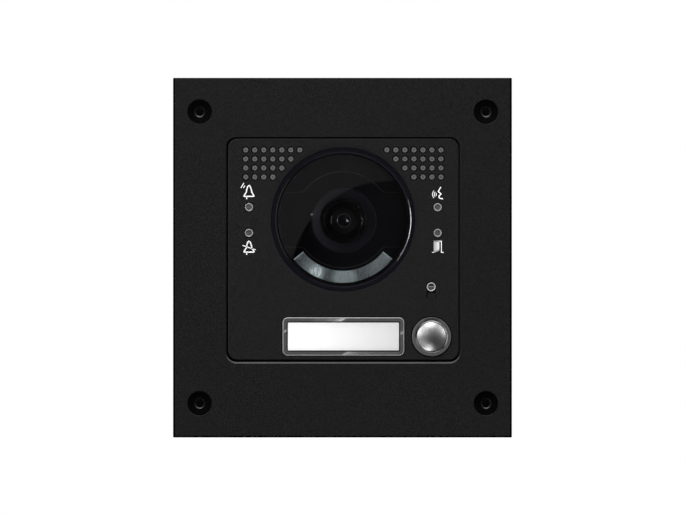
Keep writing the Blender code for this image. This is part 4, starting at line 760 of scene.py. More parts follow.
def ramp(name, place, width, length, depth, slant):
    """A cutter for a groove with slanting sides, deepest at a place and running out below it."""
    corners = []
    for side in (-1, 1):
        x = place[0] + side * width / 2
        corners += [(x - side * slant, fascia_y + depth, place[1]), (x, fascia_y, place[1]),
                    (x, fascia_y - OVERRUN, place[1]), (x, fascia_y - OVERRUN, place[1] - length),
                    (x, fascia_y, place[1] - length)]
    faces = [(0, 5, 9, 4), (0, 4, 1), (5, 6, 9), (1, 4, 3, 2), (6, 7, 8, 9), (2, 3, 8, 7), (4, 9, 8, 3),
             (0, 1, 2, 7, 6, 5)]
    return solid(name, corners, faces)


# %% Make the fascia
MODULE_CORNER = 4.3 * MM
FASCIA_EDGE = 0.8 * MM
PIPE_RADIUS = 1.82 * MM
PORT_RADIUS = 1.95 * MM
BUTTON_OUTER = 8.66 * MM
NAME_CORNER = 2.3 * MM
SHADOW_GAP = 0.42 * MM
GROOVE_WIDTH, GROOVE_LENGTH, GROOVE_DEPTH, GROOVE_SLANT = 4.2 * MM, 5.8 * MM, 1.3 * MM, 0.6 * MM

module_outline = rounded_box(module_low, module_high, MODULE_CORNER)
fascia = sweep("module_fascia_skin", module_outline,
               [(0, fascia_back)] + round_over(FASCIA_EDGE, fascia_y))
bores = [bore(place, HOLE_RADIUS, HOLE_EDGE, steps=32)
         for places in hole_places.values() for place in places]
bores += [bore(place, PIPE_RADIUS + SHADOW_GAP) for place in pipe_places.values()]
bores.append(bore(window_place, WINDOW_OUTER, steps=160))
bores.append(bore(button_place, BUTTON_OUTER + SHADOW_GAP, steps=96))
name_outline = rounded_box(name_low.xz, name_high.xz, NAME_CORNER)
name_sides = [(SHADOW_GAP, fascia_back + OVERRUN), (SHADOW_GAP, fascia_y + MOUTH_EDGE),
              (SHADOW_GAP + MOUTH_EDGE, fascia_y), (SHADOW_GAP + MOUTH_EDGE, fascia_y - OVERRUN)]
bores.append(sweep("name_opening", name_outline, name_sides))
cut(fascia, *bores)
cut(fascia, ramp("groove", microphone_place, GROOVE_WIDTH, GROOVE_LENGTH, GROOVE_DEPTH, GROOVE_SLANT))
cut(fascia, bore(microphone_place, PORT_RADIUS + SHADOW_GAP))
dress(fascia, "fascia_plastic", "fascia_plastic", "module_fascia")

# %% Make the fascia's flange and posts
FASCIA_WALL = 1.6 * MM
FLANGE_FRONT, FLANGE_REAR = -2.4 * MM, -0.4 * MM
FLANGE_OVERLAP = 3.0 * MM
EAR_RADIUS, EAR_BORE = 3.6 * MM, 1.7 * MM
POST_RADIUS = 2.9 * MM

flange_profile = [(0, fascia_back), (0, FLANGE_FRONT), (FLANGE_OVERLAP, FLANGE_FRONT),
                  (FLANGE_OVERLAP, FLANGE_REAR), (-FASCIA_WALL, FLANGE_REAR), (-FASCIA_WALL, fascia_back)]
behind = [sweep("flange", module_outline, flange_profile, loop=True)]
for corner in CORNERS:
    ear = disc(middle_of(f"module_screw_{corner}"), steps=32)
    behind.append(sweep("ear", ear, band(EAR_BORE, EAR_RADIUS, FLANGE_FRONT, FLANGE_REAR), loop=True))
    post = disc(middle_of(f"housing_screw_{corner}"), steps=32)
    behind.append(sweep("post", post, [(POST_RADIUS, fascia_back), (POST_RADIUS, fascia_high.y)]))
dress(joined("module_fascia_back", behind), "fascia_plastic", "fascia_plastic")

# %% [markdown]
# ## Speaker mesh
# An acoustic cloth lies behind each field of holes and is pressed up into them, so that each hole
# shows a grey disc. The cloth's middle in each hole is painted darker, as the shade of a dimple there:
# the finish wraps the coordinates round the pitch of the holes, so one formula darkens all the middles
# alike.
# The sheet behind the discs is painted near-black, as the shade in the gap round each disc.

# %% Finish the cloth
CLOTH_LIGHT, CLOTH_PAINTED_SHADE, CLOTH_ROUGH = 0.110, 0.042, 0.8
DIMPLE_SHADE_START, DIMPLE_SHADE_END = 0.2 * MM, 0.9 * MM
THREADS, THREAD_SHADE = 2400, 0.1

finishes["speaker_cloth"], tree, shader = new_finish("speaker_cloth", Roughness=CLOTH_ROUGH)
point = axes(tree)
squares = []
for along, start in zip((number(tree, "ABSOLUTE", point["X"]), point["Z"]), hole_places["right"][0]):
    apart = number(tree, "WRAP", number(tree, "SUBTRACT", along, start), HOLE_PITCH / 2, -HOLE_PITCH / 2)
    squares.append(number(tree, "POWER", apart, 2.0))
from_middle = number(tree, "SQRT", number(tree, "ADD", *squares))
# The middle of each hole is painted darker, as the shade of a dimple.
outside_dimple_shade = spread(tree, from_middle, DIMPLE_SHADE_START, DIMPLE_SHADE_END, 0.0, 1.0)
wave = tree.nodes.new("ShaderNodeTexWave")
wave.inputs["Scale"].default_value = THREADS
tree.links.new(coordinates(tree), wave.inputs["Vector"])
threads = number(tree, "MULTIPLY", wave.outputs["Fac"], THREAD_SHADE)
woven_and_shaded = number(tree, "SUBTRACT", outside_dimple_shade, threads)
tint(tree, shader, woven_and_shaded, [CLOTH_PAINTED_SHADE] * 3, [CLOTH_LIGHT] * 3, 0.0, 1.0)
print(f"cloth from {CLOTH_PAINTED_SHADE} to {CLOTH_LIGHT}")

# %% Make the speaker meshes
SHEET_CORNER, SHEET_CLEAR = 1.0 * MM, 1.9 * MM
BOSS_RADIUS, BOSS_EDGE, BOSS_SUNK = 1.18 * MM, 0.2 * MM, 0.28 * MM

clear = WINDOW_OUTER + SHEET_CLEAR
for side, places in hole_places.items():
    low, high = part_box(f"speaker_mesh_{side}")
    sheet_outline = rounded_box(low.xz, high.xz, SHEET_CORNER)
    # The sheet is painted near-black, as the shade in the gap round each cloth disc.
    shade_sheet = sweep(f"speaker_mesh_{side}_shade_sheet", sheet_outline, [(0, high.y), (0, low.y)])
    clear_sides = [(clear, high.y + OVERRUN), (clear, low.y - OVERRUN)]
    cut(shade_sheet, sweep("clear", disc(window_place, steps=96), clear_sides))
    dress(shade_sheet, "black_and_painted_shade", "speaker_cloth", f"speaker_mesh_{side}")
    boss_top = round_over(BOSS_EDGE, fascia_y + BOSS_SUNK, steps=3, size=BOSS_RADIUS)
    boss = [(BOSS_RADIUS, low.y)] + boss_top
    bosses = [sweep("boss", disc(place, steps=24), boss) for place in places]
    dress(joined(f"speaker_mesh_{side}_cloth", bosses), "speaker_cloth", "speaker_cloth")

# %% [markdown]
# ## Camera window
# A glossy ring holds a clear dome over the camera. The ring has two narrow facets inside its face.
# The outer one turns a light from the left towards the camera as a thin white arc, and the steeper
# one shows a faint line of the light from the right. Inside them a level shelf leads to a groove,
# painted black as shade, which parts the ring from the dome. The dome is a shell of even thickness:
# both of its faces are parts of spheres, so its two reflections lie on each other and draw one clean
# curve.

# %% Make the window ring
RING_SHELF, RING_INNER, RING_OUTER = 29.26 * MM, 29.62 * MM, 31.82 * MM
RING_SEAT, RING_LIP = 30.3 * MM, 1.0 * MM
INNER_FACET, INNER_TILT = 0.36 * MM, 39
OUTER_FACET, OUTER_TILT = 0.22 * MM, 30.5
RING_FLANGE = 1.2 * MM
RING_STEPS = 160

ring_low, ring_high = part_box("window_ring")
ring_face = ring_low.y
flange_radius, flange_y = (ring_high.x - ring_low.x) / 2, ring_high.y - RING_FLANGE
outer_drop = OUTER_FACET * math.tan(math.radians(OUTER_TILT))
inner_drop = outer_drop + INNER_FACET * math.tan(math.radians(INNER_TILT))
ring_profile = [(RING_SHELF, ring_face + RING_LIP), (RING_SHELF, ring_face + inner_drop),
                (RING_INNER, ring_face + inner_drop), (RING_INNER + INNER_FACET, ring_face + outer_drop),
                (RING_INNER + INNER_FACET + OUTER_FACET, ring_face), (RING_OUTER, ring_face),
                (RING_OUTER, flange_y), (flange_radius, flange_y), (flange_radius, ring_high.y),
                (RING_SEAT, ring_high.y), (RING_SEAT, ring_face + RING_LIP)]
ring = sweep("window_ring_gloss", disc(window_place, RING_STEPS), ring_profile, loop=True)
dress(ring, "gloss_black", "gloss_black", "window_ring", sharp=5)

# %% Make the dome and the groove round it
DOME_RADIUS, DOME_RISE, DOME_LIP = 29.0 * MM, 2.5 * MM, 1.0 * MM
PARTING_SIDE, PARTING_OVER = 0.05 * MM, 0.1 * MM
PARTING_RISE, PARTING_SKIN, PARTING_DEPTH = 0.1 * MM, 0.04 * MM, 0.6 * MM

dome_low, dome_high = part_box("camera_window")
rim = dome_low.y + DOME_RISE
outside = dome(DOME_RADIUS, DOME_RISE, rim, steps=28)
inside = [(reach, depth + dome_high.y - rim) for reach, depth in outside]
dome_edge = (dome_high.x - dome_low.x) / 2
seat = [(DOME_RADIUS, rim + DOME_LIP), (dome_edge, rim + DOME_LIP), (dome_edge, dome_high.y)]
window = sweep("camera_window_clear", disc(window_place, RING_STEPS), outside + seat + inside[::-1])
dress(window, "clear_plastic", "clear_plastic", "camera_window")
groove_inner, groove_wall, groove_outer = (
    DOME_RADIUS - PARTING_SIDE, DOME_RADIUS + PARTING_SIDE, RING_SHELF + PARTING_OVER)
groove_profile = [(groove_inner, rim - PARTING_RISE), (groove_outer, rim - PARTING_RISE),
                  (groove_outer, rim + PARTING_DEPTH), (groove_wall, rim + PARTING_DEPTH),
                  (groove_wall, rim - PARTING_SIDE), (groove_inner, rim - PARTING_RISE + PARTING_SKIN)]
# The groove is filled by a ring painted black, as the shade in the groove.
groove = sweep("window_groove", disc(window_place, RING_STEPS), groove_profile, loop=True)
dress(groove, "black_and_painted_shade", "gloss_black")

# %% [markdown]
# ## Camera behind the dome
# The mask is matt black, with a raised panel: a disc that blends into a level band across it, so its
# outline is one formula in polar form, and a thin grey line along it is a painted highlight of the
# panel's edge. In its middle sit a dished grey bezel, the lens barrel and the lens itself, which is drawn
# as a ring and a small inner dome. The illuminator is a part ring below them.

# %% Outline the mask's panel
MASK_POCKET = 28.5 * MM
PANEL_RADIUS, BAND_HALF, PANEL_BLEND = 21.55 * MM, 12.2 * MM, 28
PANEL_FIT, CONTOUR_RUN = 0.1 * MM, 0.8 * MM
LEAST_SINE = 0.1


def panel_radius(angle, most=MASK_POCKET - PANEL_FIT):
    """A disc that blends into a level band across it, and reaches no further than the radius most."""
    across = BAND_HALF / max(abs(math.sin(angle)), LEAST_SINE) / PANEL_RADIUS
    blended = PANEL_RADIUS * (1 + across ** PANEL_BLEND) ** (1 / PANEL_BLEND)
    return min(blended, most)


def contour_radius(angle):
    """The panel's edge, whose ends run on into the wall of the pocket."""
    return panel_radius(angle, MASK_POCKET + CONTOUR_RUN)


# %% Make the mask
MASK_STEP, MASK_THICKNESS, MASK_WALL, MASK_PROUD = 1.1 * MM, 1.2 * MM, 1.5 * MM, 0.2 * MM
PANEL_EDGE, PANEL_FOOT = 0.25 * MM, 0.2 * MM
BEZEL_OUTER, BEZEL_INNER, BEZEL_FIT = 14.42 * MM, 10.0 * MM, 0.05 * MM
LENS_SHIFT = (0.33 * MM, -0.36 * MM)
CONTOUR = 0.55 * MM
PANEL_STEPS, MASK_STEPS = 240, 128

panel_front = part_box("camera_mask")[0].y
floor_front = panel_front + MASK_STEP
floor_back = floor_front + MASK_THICKNESS
mask_outer = MASK_POCKET + MASK_WALL
mask_outline = disc(window_place, MASK_STEPS)
lens_place = (window_place[0] + LENS_SHIFT[0], window_place[1] + LENS_SHIFT[1])
panel = sweep("panel", polar(window_place, panel_radius, PANEL_STEPS),
              [(0, floor_front + PANEL_FOOT)] + round_over(PANEL_EDGE, panel_front))
mask_floor = sweep("mask_floor", mask_outline,
                   band(BEZEL_INNER, mask_outer, floor_front, floor_back), loop=True)
bezel_hole = [(BEZEL_OUTER + BEZEL_FIT, floor_back + OVERRUN),
              (BEZEL_OUTER + BEZEL_FIT, panel_front - OVERRUN)]
for part in (panel, mask_floor):
    cut(part, sweep("bezel_hole", disc(lens_place, steps=96), bezel_hole))
mask_wall = sweep("mask_wall", mask_outline,
                  band(MASK_POCKET, mask_outer, panel_front - MASK_PROUD, floor_front), loop=True)
mask = joined("camera_mask_black", [panel, mask_floor, mask_wall])
dress(mask, "mask_black", "matt_black", "camera_mask")
# The contour is painted grey as the highlight on the panel's edge.
contour = sweep("camera_mask_painted_highlight", polar(window_place, contour_radius, PANEL_STEPS),
                band(-CONTOUR, 0, panel_front - CONTOUR / 4, panel_front + CONTOUR), loop=True)
dress(contour, "painted_edge_highlight", "matt_black")

# %% Make the bezel and its painted glint
BEZEL_DISH, BEZEL_RIM = 1.6 * MM, 0.5 * MM
TURNED_SOFT = 0.2 * MM
GLINT_DOT_SHIFT = (-13.82 * MM, 2.35 * MM)
GLINT_DOT_RADIUS, GLINT_DOT_RISE = 0.44 * MM, 0.15 * MM

bezel_low, bezel_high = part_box("lens_bezel")
lens_outline = disc(lens_place, steps=96)
bezel_profile = [(BEZEL_INNER, bezel_low.y + BEZEL_DISH), (BEZEL_OUTER - BEZEL_RIM, bezel_low.y),
                 (BEZEL_OUTER, bezel_low.y), (BEZEL_OUTER, bezel_high.y), (BEZEL_INNER, bezel_high.y)]
bezel = hoop("lens_bezel_grey", lens_outline, bezel_profile, TURNED_SOFT)
dress(bezel, "bezel_grey", "bezel_grey", "lens_bezel")
# A small white dot on the bezel's left edge is a painted glint.
glint_dot_place = (window_place[0] + GLINT_DOT_SHIFT[0], window_place[1] + GLINT_DOT_SHIFT[1])
glint_dot_y = bezel_low.y - GLINT_DOT_RISE / 2
glint_dot_profile = dome(GLINT_DOT_RADIUS, GLINT_DOT_RISE, glint_dot_y, steps=5) + [(GLINT_DOT_RADIUS, glint_dot_y + GLINT_DOT_RISE)]
dress(sweep("lens_bezel_painted_glint", disc(glint_dot_place, steps=20), glint_dot_profile), "sign_white", "bezel_grey")

# %% Make the barrel
LENS_DROP, LENS_FIT, LENS_SEAT = 1.7 * MM, 0.3 * MM, 2.5 * MM
BARREL_STEP, BARREL_SLOPE = 1.0 * MM, 0.7 * MM
BARREL_RIM, BARREL_EDGE, BARREL_HEAD = 1.6 * MM, 1.3 * MM, 4.5 * MM
THREAD_RADIUS, BARREL_BORE = 6.0 * MM, 3.3 * MM

barrel_low, barrel_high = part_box("lens_barrel")
lens_low, lens_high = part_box("front_lens")
lens_radius = (lens_high.x - lens_low.x) / 2
barrel_radius = (barrel_high.x - barrel_low.x) / 2
barrel_y, head_y = barrel_low.y, barrel_low.y + BARREL_HEAD
lens_edge = lens_low.y + LENS_DROP
barrel_profile = [(lens_radius + LENS_FIT, lens_edge), (lens_radius + LENS_FIT, barrel_y + BARREL_STEP),
                  (barrel_radius - BARREL_RIM, barrel_y + BARREL_SLOPE),
                  (barrel_radius - BARREL_EDGE, barrel_y), (barrel_radius, barrel_y),
                  (barrel_radius, head_y), (THREAD_RADIUS, head_y),
                  (THREAD_RADIUS, barrel_high.y), (BARREL_BORE, barrel_high.y),
                  (BARREL_BORE, lens_edge + LENS_SEAT)]
barrel = hoop("lens_barrel_black", lens_outline, barrel_profile, TURNED_SOFT)
dress(barrel, "lens_black", "gloss_black", "lens_barrel")

# %% Make the lens and its fine rings
INNER_LENS, INNER_RISE, INNER_FOOT = 2.75 * MM, 0.8 * MM, 0.5 * MM
WELL_DEPTH, WELL_EDGE, WELL_SLOPE = 0.4 * MM, 0.4 * MM, 0.55 * MM
INNER_LINE, INNER_BEVEL = (2.77 * MM, 3.10 * MM), 0.15 * MM
FRONT_LINE, FRONT_BEVEL, FRONT_SUNK = (5.7 * MM, 8.1 * MM), 0.20 * MM, 0.5 * MM
LINE_SLOPES, LINE_HEIGHT = (0.31, 0.22), 0.5 * MM

inner_y = lens_low.y + INNER_RISE
lens_profile = [(AXIS, inner_y + WELL_DEPTH), (INNER_LENS, inner_y + WELL_DEPTH),
                (INNER_LENS + WELL_EDGE, inner_y + WELL_SLOPE), (lens_radius, lens_edge),
                (lens_radius, lens_high.y)]
lens = sweep("front_lens_glass", disc(lens_place, steps=72), lens_profile)
dress(lens, "lens_black", "lens_glass", "front_lens")
inner_profile = dome(INNER_LENS, INNER_RISE, inner_y, steps=10) + [(INNER_LENS, inner_y + INNER_FOOT)]
dress(sweep("front_lens_inner", disc(lens_place, steps=48), inner_profile), "lens_glass", "lens_glass")


def line_ring(name, inner, outer, bevel, y):
    """A flat raised ring whose inner bevel is steeper than its outer one."""
    profile = [(inner, y + bevel * LINE_SLOPES[0]), (inner + bevel, y), (outer - bevel, y),
               (outer, y + bevel * LINE_SLOPES[1]), (outer, y + LINE_HEIGHT), (inner, y + LINE_HEIGHT)]
    return sweep(name, lens_outline, profile, loop=True)


# The inner ring's light grey is a painted highlight, besides the lamp's reflections in its bevels.
inner_line = line_ring("front_lens_line", *INNER_LINE, INNER_BEVEL, inner_y)
dress(inner_line, "painted_highlight_grey", "gloss_black", sharp=5)
front_line = line_ring("lens_barrel_line", *FRONT_LINE, FRONT_BEVEL, barrel_y + FRONT_SUNK)
dress(front_line, "rim_black", "gloss_black", sharp=5)

# %% [markdown]
# The illuminator's window is satin plastic with uneven, streaky brightness, and it is painted brightest
# where one of its lamps would shine through. Painted pools of light round a few points, and painted
# highlights along its two ends, are added to a stretched noise. The sum picks the colour, and the
# brightest patch has a painted glow through fine fibres.

# %% A satin finish with painted light in patches
SATIN_ROUGH = 0.42
SATIN_RANGE = (0.1, 1.1)
STREAKS, STREAK_DETAIL, STREAK_STRETCH = 1200, 6.0, (1, 1, 0.4)
SATIN_GRAIN, SATIN_RELIEF = 2200, 0.01 * MM
FIBRES, FIBRE_DETAIL, FIBRE_STRETCH, FIBRE_RANGE = 1500, 5.0, (1, 1, 0.3), (0.46, 0.60)


def measured(tree, operation, where):
    """A vector sum of the coordinates and a fixed vector: a distance from it or a length along it."""
    node = tree.nodes.new("ShaderNodeVectorMath")
    node.operation = operation
    tree.links.new(coordinates(tree), node.inputs[0])
    node.inputs[1].default_value = where
    return node.outputs["Value"]


def patch(tree, centre, inner, reach):
    """1 about a point, falling to 0 at a distance from it."""
    return spread(tree, measured(tree, "DISTANCE", centre), inner, reach, 1.0, 0.0)


def beyond(tree, normal, start, end):
    """0 before a plane across a direction, rising to 1 past it."""
    return spread(tree, measured(tree, "DOT_PRODUCT", normal), start, end, 0.0, 1.0)


def satin_painted_light(name, dark, light, patches, streaks=0.3, ends=(), painted_glow=None):
    """Satin plastic with streaks, painted light in rows of patches and of bright ends, and a painted glow
    at one place.
    """
    material, tree, shader = new_finish(name, Roughness=SATIN_ROUGH)
    streaks_and_painted_light = number(tree, "MULTIPLY", grain(tree, STREAKS, STREAK_DETAIL, STREAK_STRETCH), streaks)
    for shape, rows in ((patch, patches), (beyond, ends)):
        for where, start, end, weight in rows:
            part = number(tree, "MULTIPLY", shape(tree, where, start, end), weight)
            streaks_and_painted_light = number(tree, "ADD", streaks_and_painted_light, part)
    tint(tree, shader, streaks_and_painted_light, dark, light, *SATIN_RANGE)
    relief(tree, shader, grain(tree, SATIN_GRAIN), SATIN_RELIEF)
    if painted_glow:
        place, reach, strength = painted_glow
        fibres = spread(tree, grain(tree, FIBRES, FIBRE_DETAIL, FIBRE_STRETCH), *FIBRE_RANGE, 0.0, 1.0)
        near = number(tree, "MULTIPLY", patch(tree, place, 0.0, reach), fibres)
        tree.links.new(number(tree, "MULTIPLY", near, strength), shader.inputs["Emission Strength"])
        shader.inputs["Emission Color"].default_value = (*light, 1)
    return material


# %% Make the illuminator's diffuser
DIFFUSER_INNER, DIFFUSER_OUTER = 22.62 * MM, 27.95 * MM
DIFFUSER_HALF_ANGLE, DIFFUSER_EDGE = 51.6, 0.25 * MM
DOWN = -90


def round_window(radius, degrees):
    """A point at a radius and an angle about the window's centre."""
    angle = math.radians(degrees)
    return (window_place[0] + radius * math.cos(angle), window_place[1] + radius * math.sin(angle))


def part_ring(grow, steps=60):
    """Outline of a part ring that is centred straight below the lens."""
    points = []
    for radius, turn in ((DIFFUSER_OUTER + grow, 1), (DIFFUSER_INNER - grow, -1)):
        half = DIFFUSER_HALF_ANGLE + math.degrees(grow / radius)
        turns = [turn * half * (2 * step / steps - 1) for step in range(steps + 1)]
        points += [round_window(radius, DOWN + degrees) for degrees in turns]
    return points


diffuser_low, diffuser_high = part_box("illuminator_diffuser")
diffuser = sweep("illuminator_diffuser_satin", part_ring,
                 [(0, diffuser_high.y)] + round_over(DIFFUSER_EDGE, diffuser_low.y))
print(f"the diffuser spans {2 * DIFFUSER_HALF_ANGLE:.1f} degrees")

# %% Finish the diffuser
DIFFUSER_DARK, DIFFUSER_PAINTED_LIGHT, DIFFUSER_STREAKS = (0.068, 0.087, 0.100), (0.82, 0.96, 1.00), 0.60
# Painted light: the patches are pools of light and the end lines are highlights, put into the colour.
PAINTED_LIGHT_PATCHES = ((-27, 0.1, 3.6, 0.34), (-30, 2.0, 6.8, 0.36), (1.5, 3.6, 6.4, 0.58),
                  (41, 3.0, 9.0, 0.24), (-50.5, 0.1, 1.6, 0.22), (50.5, 0.1, 1.8, 0.24))
PATCH_OUT = 0.6 * MM
PAINTED_GLOW_REACH, PAINTED_GLOW = 3.8 * MM, 1.1
END_HIGHLIGHT_BAND, END_HIGHLIGHT_WEIGHTS = (0.80 * MM, 0.40 * MM), {-1: 0.85, 1: 0.55}

patch_radius = (DIFFUSER_INNER + DIFFUSER_OUTER) / 2 + PATCH_OUT
painted_light_places = []
for angle, inner, reach, weight in PAINTED_LIGHT_PATCHES:
    x, z = round_window(patch_radius, DOWN + angle)
    painted_light_places.append(((x, diffuser_low.y, z), inner * MM, reach * MM, weight))
painted_end_highlights = []
for side, weight in END_HIGHLIGHT_WEIGHTS.items():
    turn = math.radians(DOWN + side * DIFFUSER_HALF_ANGLE)
    normal = Vector((-side * math.sin(turn), 0, side * math.cos(turn)))
    end_place = normal.dot((window_place[0], 0, window_place[1]))
    painted_end_highlights.append((normal, end_place - END_HIGHLIGHT_BAND[0], end_place - END_HIGHLIGHT_BAND[1], weight))
finishes["satin_painted_light"] = satin_painted_light(
    "satin_painted_light", DIFFUSER_DARK, DIFFUSER_PAINTED_LIGHT, painted_light_places, DIFFUSER_STREAKS, painted_end_highlights,
    (painted_light_places[0][0], PAINTED_GLOW_REACH, PAINTED_GLOW))
dress(diffuser, "satin_painted_light", "frosted_plastic", "illuminator_diffuser")

# %% [markdown]
# The camera looks best with its own light: a photographer would shade its glossy parts from the
# softboxes with flags and add small lamps. Light linking does the same: a collection names the pieces
# that a lamp lights, or those that it leaves out. Four strips draw the arc and the faint lines on the
# ring, two lamps reach the corners of the plate's lip, one at the right shows what is behind the dome,
# and a low one evens out the black faces. The ring throws no shadow from the softboxes.

# %% Light the camera by itself
RING_LAMPS = {
    "ring_strip": ((-0.92, -0.52, 0.27), 0.10, 0.84, 26.0),
    "ring_strip_right": ((1.00, -0.21, 0.0), 0.30, 1.40, 0.45),
    "ring_strip_top": ((0.0, -0.36, 0.93), 0.90, 0.56, 0.14),
    "ring_strip_low": ((0.0, -0.36, -0.93), 0.90, 0.56, 0.11),
}
CORNER_LAMPS = {
    "corner_lamp_left": ((0.70, -0.40, 0.54), 0.48, 0.48, 8.5),
    "corner_lamp_right": ((-0.70, -0.40, 0.54), 0.48, 0.48, 8.5),
}
CAMERA_LAMP = ((0.62, -0.86, 0.02), 0.42, 0.42, 9.5)
LOW_FILL = ((0.12, -0.30, -0.45), 0.50, 0.20, 2.6)


def gathered(name, pieces, state):
    """A collection for light linking, whose pieces a lamp lights (INCLUDE) or leaves out (EXCLUDE)."""
    group = bpy.data.collections.new(name)
    for piece in pieces:
        group.objects.link(piece)
    for entry in group.collection_objects:
        entry.light_linking.link_state = state
    return group


def lamp_on(pieces, name, *what):
    """A softbox that lights these pieces alone."""
    lamp = softbox(name, *what)
    lamp.light_linking.receiver_collection = gathered(f"{name}_only", pieces, "INCLUDE")
    return lamp


for piece, lamps in ((ring, RING_LAMPS), (plate_lip, CORNER_LAMPS)):
    for name, what in lamps.items():
        lamp_on([piece], name, *what)
lamp_on([window], "camera_lamp", *CAMERA_LAMP).visible_glossy = False
lamp_on([plate, fascia], "low_fill", *LOW_FILL)
shadowless = gathered("ring_without_shadow", [ring], "EXCLUDE")
for light in main_lights.values():
    light.light_linking.blocker_collection = shadowless
print(len(RING_LAMPS), "lamps on the ring,", len(CORNER_LAMPS), "on the plate's lip, 1 on the window")

# %% [markdown]
# ## Light pipes and microphone
# Each light pipe ends in a shallow dish, so the lower part of its rim faces the top light and
# is the brightest. Its sunk core is painted a darker grey than the rim, as shade. The microphone sits
# behind a ring with a slit: the slit's upper part is in shade and a lip below it catches the light.
# The port's floor is painted the same darker grey, as shade.

# %% Make the light pipes
CORE_RADIUS, CORE_SUNK, CORE_RISE = 1.22 * MM, 0.35 * MM, 0.12 * MM
RIM_INNER, RIM_OUTER, RIM_CHAMFER, RIM_SOFT = 1.44 * MM, 1.70 * MM, 0.15 * MM, 0.08 * MM
COLLAR_FIT, COLLAR_DEPTH = 0.3 * MM, 1.0 * MM

collar_y = fascia_back + COLLAR_FIT
for corner, place in pipe_places.items():
    pipe_name = f"light_pipe_{corner}"
    low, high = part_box(pipe_name)
    collar = (high.x - low.x) / 2
    rim_profile = [(CORE_RADIUS, low.y + CORE_SUNK), (RIM_INNER, low.y), (RIM_OUTER, low.y),
                   (PIPE_RADIUS, low.y + RIM_CHAMFER), (PIPE_RADIUS, collar_y), (collar, collar_y),
                   (collar, collar_y + COLLAR_DEPTH), (PIPE_RADIUS, collar_y + COLLAR_DEPTH),
                   (PIPE_RADIUS, high.y), (CORE_RADIUS, high.y)]
    pipe = hoop(f"{pipe_name}_rim", disc(place, steps=48), rim_profile, RIM_SOFT)
    dress(pipe, "frosted_plastic", "frosted_plastic", pipe_name)
    # The core is painted darker than the rim, as shade.
    core_profile = dome(CORE_RADIUS, CORE_RISE, low.y + CORE_SUNK, steps=6) + [(CORE_RADIUS, high.y)]
    core = sweep(f"{pipe_name}_core", disc(place, steps=48), core_profile)
    dress(core, "frosted_painted_shade", "frosted_plastic")

# %% [markdown]
# Round every part that sits in the fascia is a narrow gap in shade. A thin black ring, sunk a little into
# each bore, is painted shade that draws it evenly from any side. Two thin black strips are painted shade
# along the edges of the drip groove.

# %% Paint shade into the gaps round the pipes and along the groove's edges
GAP_SUNK, GAP_BACK, GAP_FIT, LINE_PROUD = 0.35 * MM, 3 * 0.35 * MM, 0.01 * MM, 0.01 * MM
GROOVE_SHADE_LINES = ((-1.95 * MM, 0.40 * MM), (2.0 * MM, 0.16 * MM))
LINE_TOP, LINE_END, LINE_ROUND = -1.6 * MM, -5.2 * MM, 1 / 3


def shade_band(size):
    """Profile of the black ring of painted shade in the gap round a part of this size."""
    inner, outer = size + GAP_FIT, size + SHADOW_GAP - GAP_FIT
    return band(inner, outer, fascia_y + GAP_SUNK, fascia_y + GAP_BACK)


round_parts = [(place, PIPE_RADIUS) for place in pipe_places.values()]
round_parts += [(microphone_place, PORT_RADIUS), (button_place, BUTTON_OUTER)]
gap_shades = [sweep("gap", disc(place, steps=72), shade_band(radius), loop=True) for place, radius in round_parts]
microphone_x, microphone_z = microphone_place
for shift, width in GROOVE_SHADE_LINES:
    left, right = microphone_x + shift - width / 2, microphone_x + shift + width / 2
    ends = (left, microphone_z + LINE_END), (right, microphone_z + LINE_TOP)
    strip = rounded_box(*ends, width * LINE_ROUND, steps=3)
    gap_shades.append(sweep("edge", strip, [(0, fascia_y + GAP_SUNK), (0, fascia_y - LINE_PROUD)]))
dress(joined("fascia_gap_shade", gap_shades), "black_and_painted_shade", "rubber")

# %% Make the microphone port
PORT_SUNK, PORT_WALL, PORT_RIM, PORT_SOFT = 0.5 * MM, 0.5 * MM, 0.4 * MM, 0.12 * MM
SLIT_HALF, SLIT_LOW, SLIT_HIGH, SLIT_CORNER = 1.4 * MM, 0.2 * MM, 0.9 * MM, 0.3 * MM
SLIT_DEPTH, SLIT_RISE = 0.25 * MM, 0.2 * MM
SLIT_LIP, SLIT_LIP_CORNER, SLIT_LIP_EDGE, SLIT_LIP_FOOT = 0.38 * MM, 0.18 * MM, 0.15 * MM, 0.1 * MM

port_low, port_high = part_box("microphone_port")
port_collar = (port_high.x - port_low.x) / 2
port_floor, port_inner = port_low.y + PORT_SUNK, PORT_RADIUS - PORT_WALL
port_outline = disc(microphone_place, steps=56)
port_profile = [(port_inner, port_floor), (PORT_RADIUS - PORT_RIM, port_low.y), (PORT_RADIUS, port_low.y),
                (PORT_RADIUS, collar_y), (port_collar, collar_y), (port_collar, port_high.y),
                (port_inner, port_high.y)]
port_ring = hoop("microphone_port_ring", port_outline, port_profile, PORT_SOFT)
port = sweep("microphone_port_floor", port_outline, [(port_inner, port_high.y), (port_inner, port_floor)])
slit_low = (microphone_x - SLIT_HALF, microphone_z + SLIT_LOW)
slit_high = (microphone_x + SLIT_HALF, microphone_z + SLIT_HIGH)
slit_sides = [(0, port_floor + SLIT_DEPTH), (0, port_floor - SLIT_RISE)]
cut(port, sweep("slit", rounded_box(slit_low, slit_high, SLIT_CORNER, steps=4), slit_sides))
lip_low, lip_high = (slit_low[0], slit_low[1] - SLIT_LIP), (slit_high[0], slit_low[1])
lip_outline = rounded_box(lip_low, lip_high, SLIT_LIP_CORNER, steps=4)
lip_profile = [(0, port_floor + SLIT_LIP_FOOT)] + round_over(SLIT_LIP_EDGE, port_floor - SLIT_RISE)
dress(sweep("microphone_port_lip", lip_outline, lip_profile), "frosted_plastic", "frosted_plastic")
# The port's floor is painted darker, as shade.
dress(port, "frosted_painted_shade", "frosted_plastic", "microphone_port")
dress(port_ring, "port_grey", "frosted_plastic")

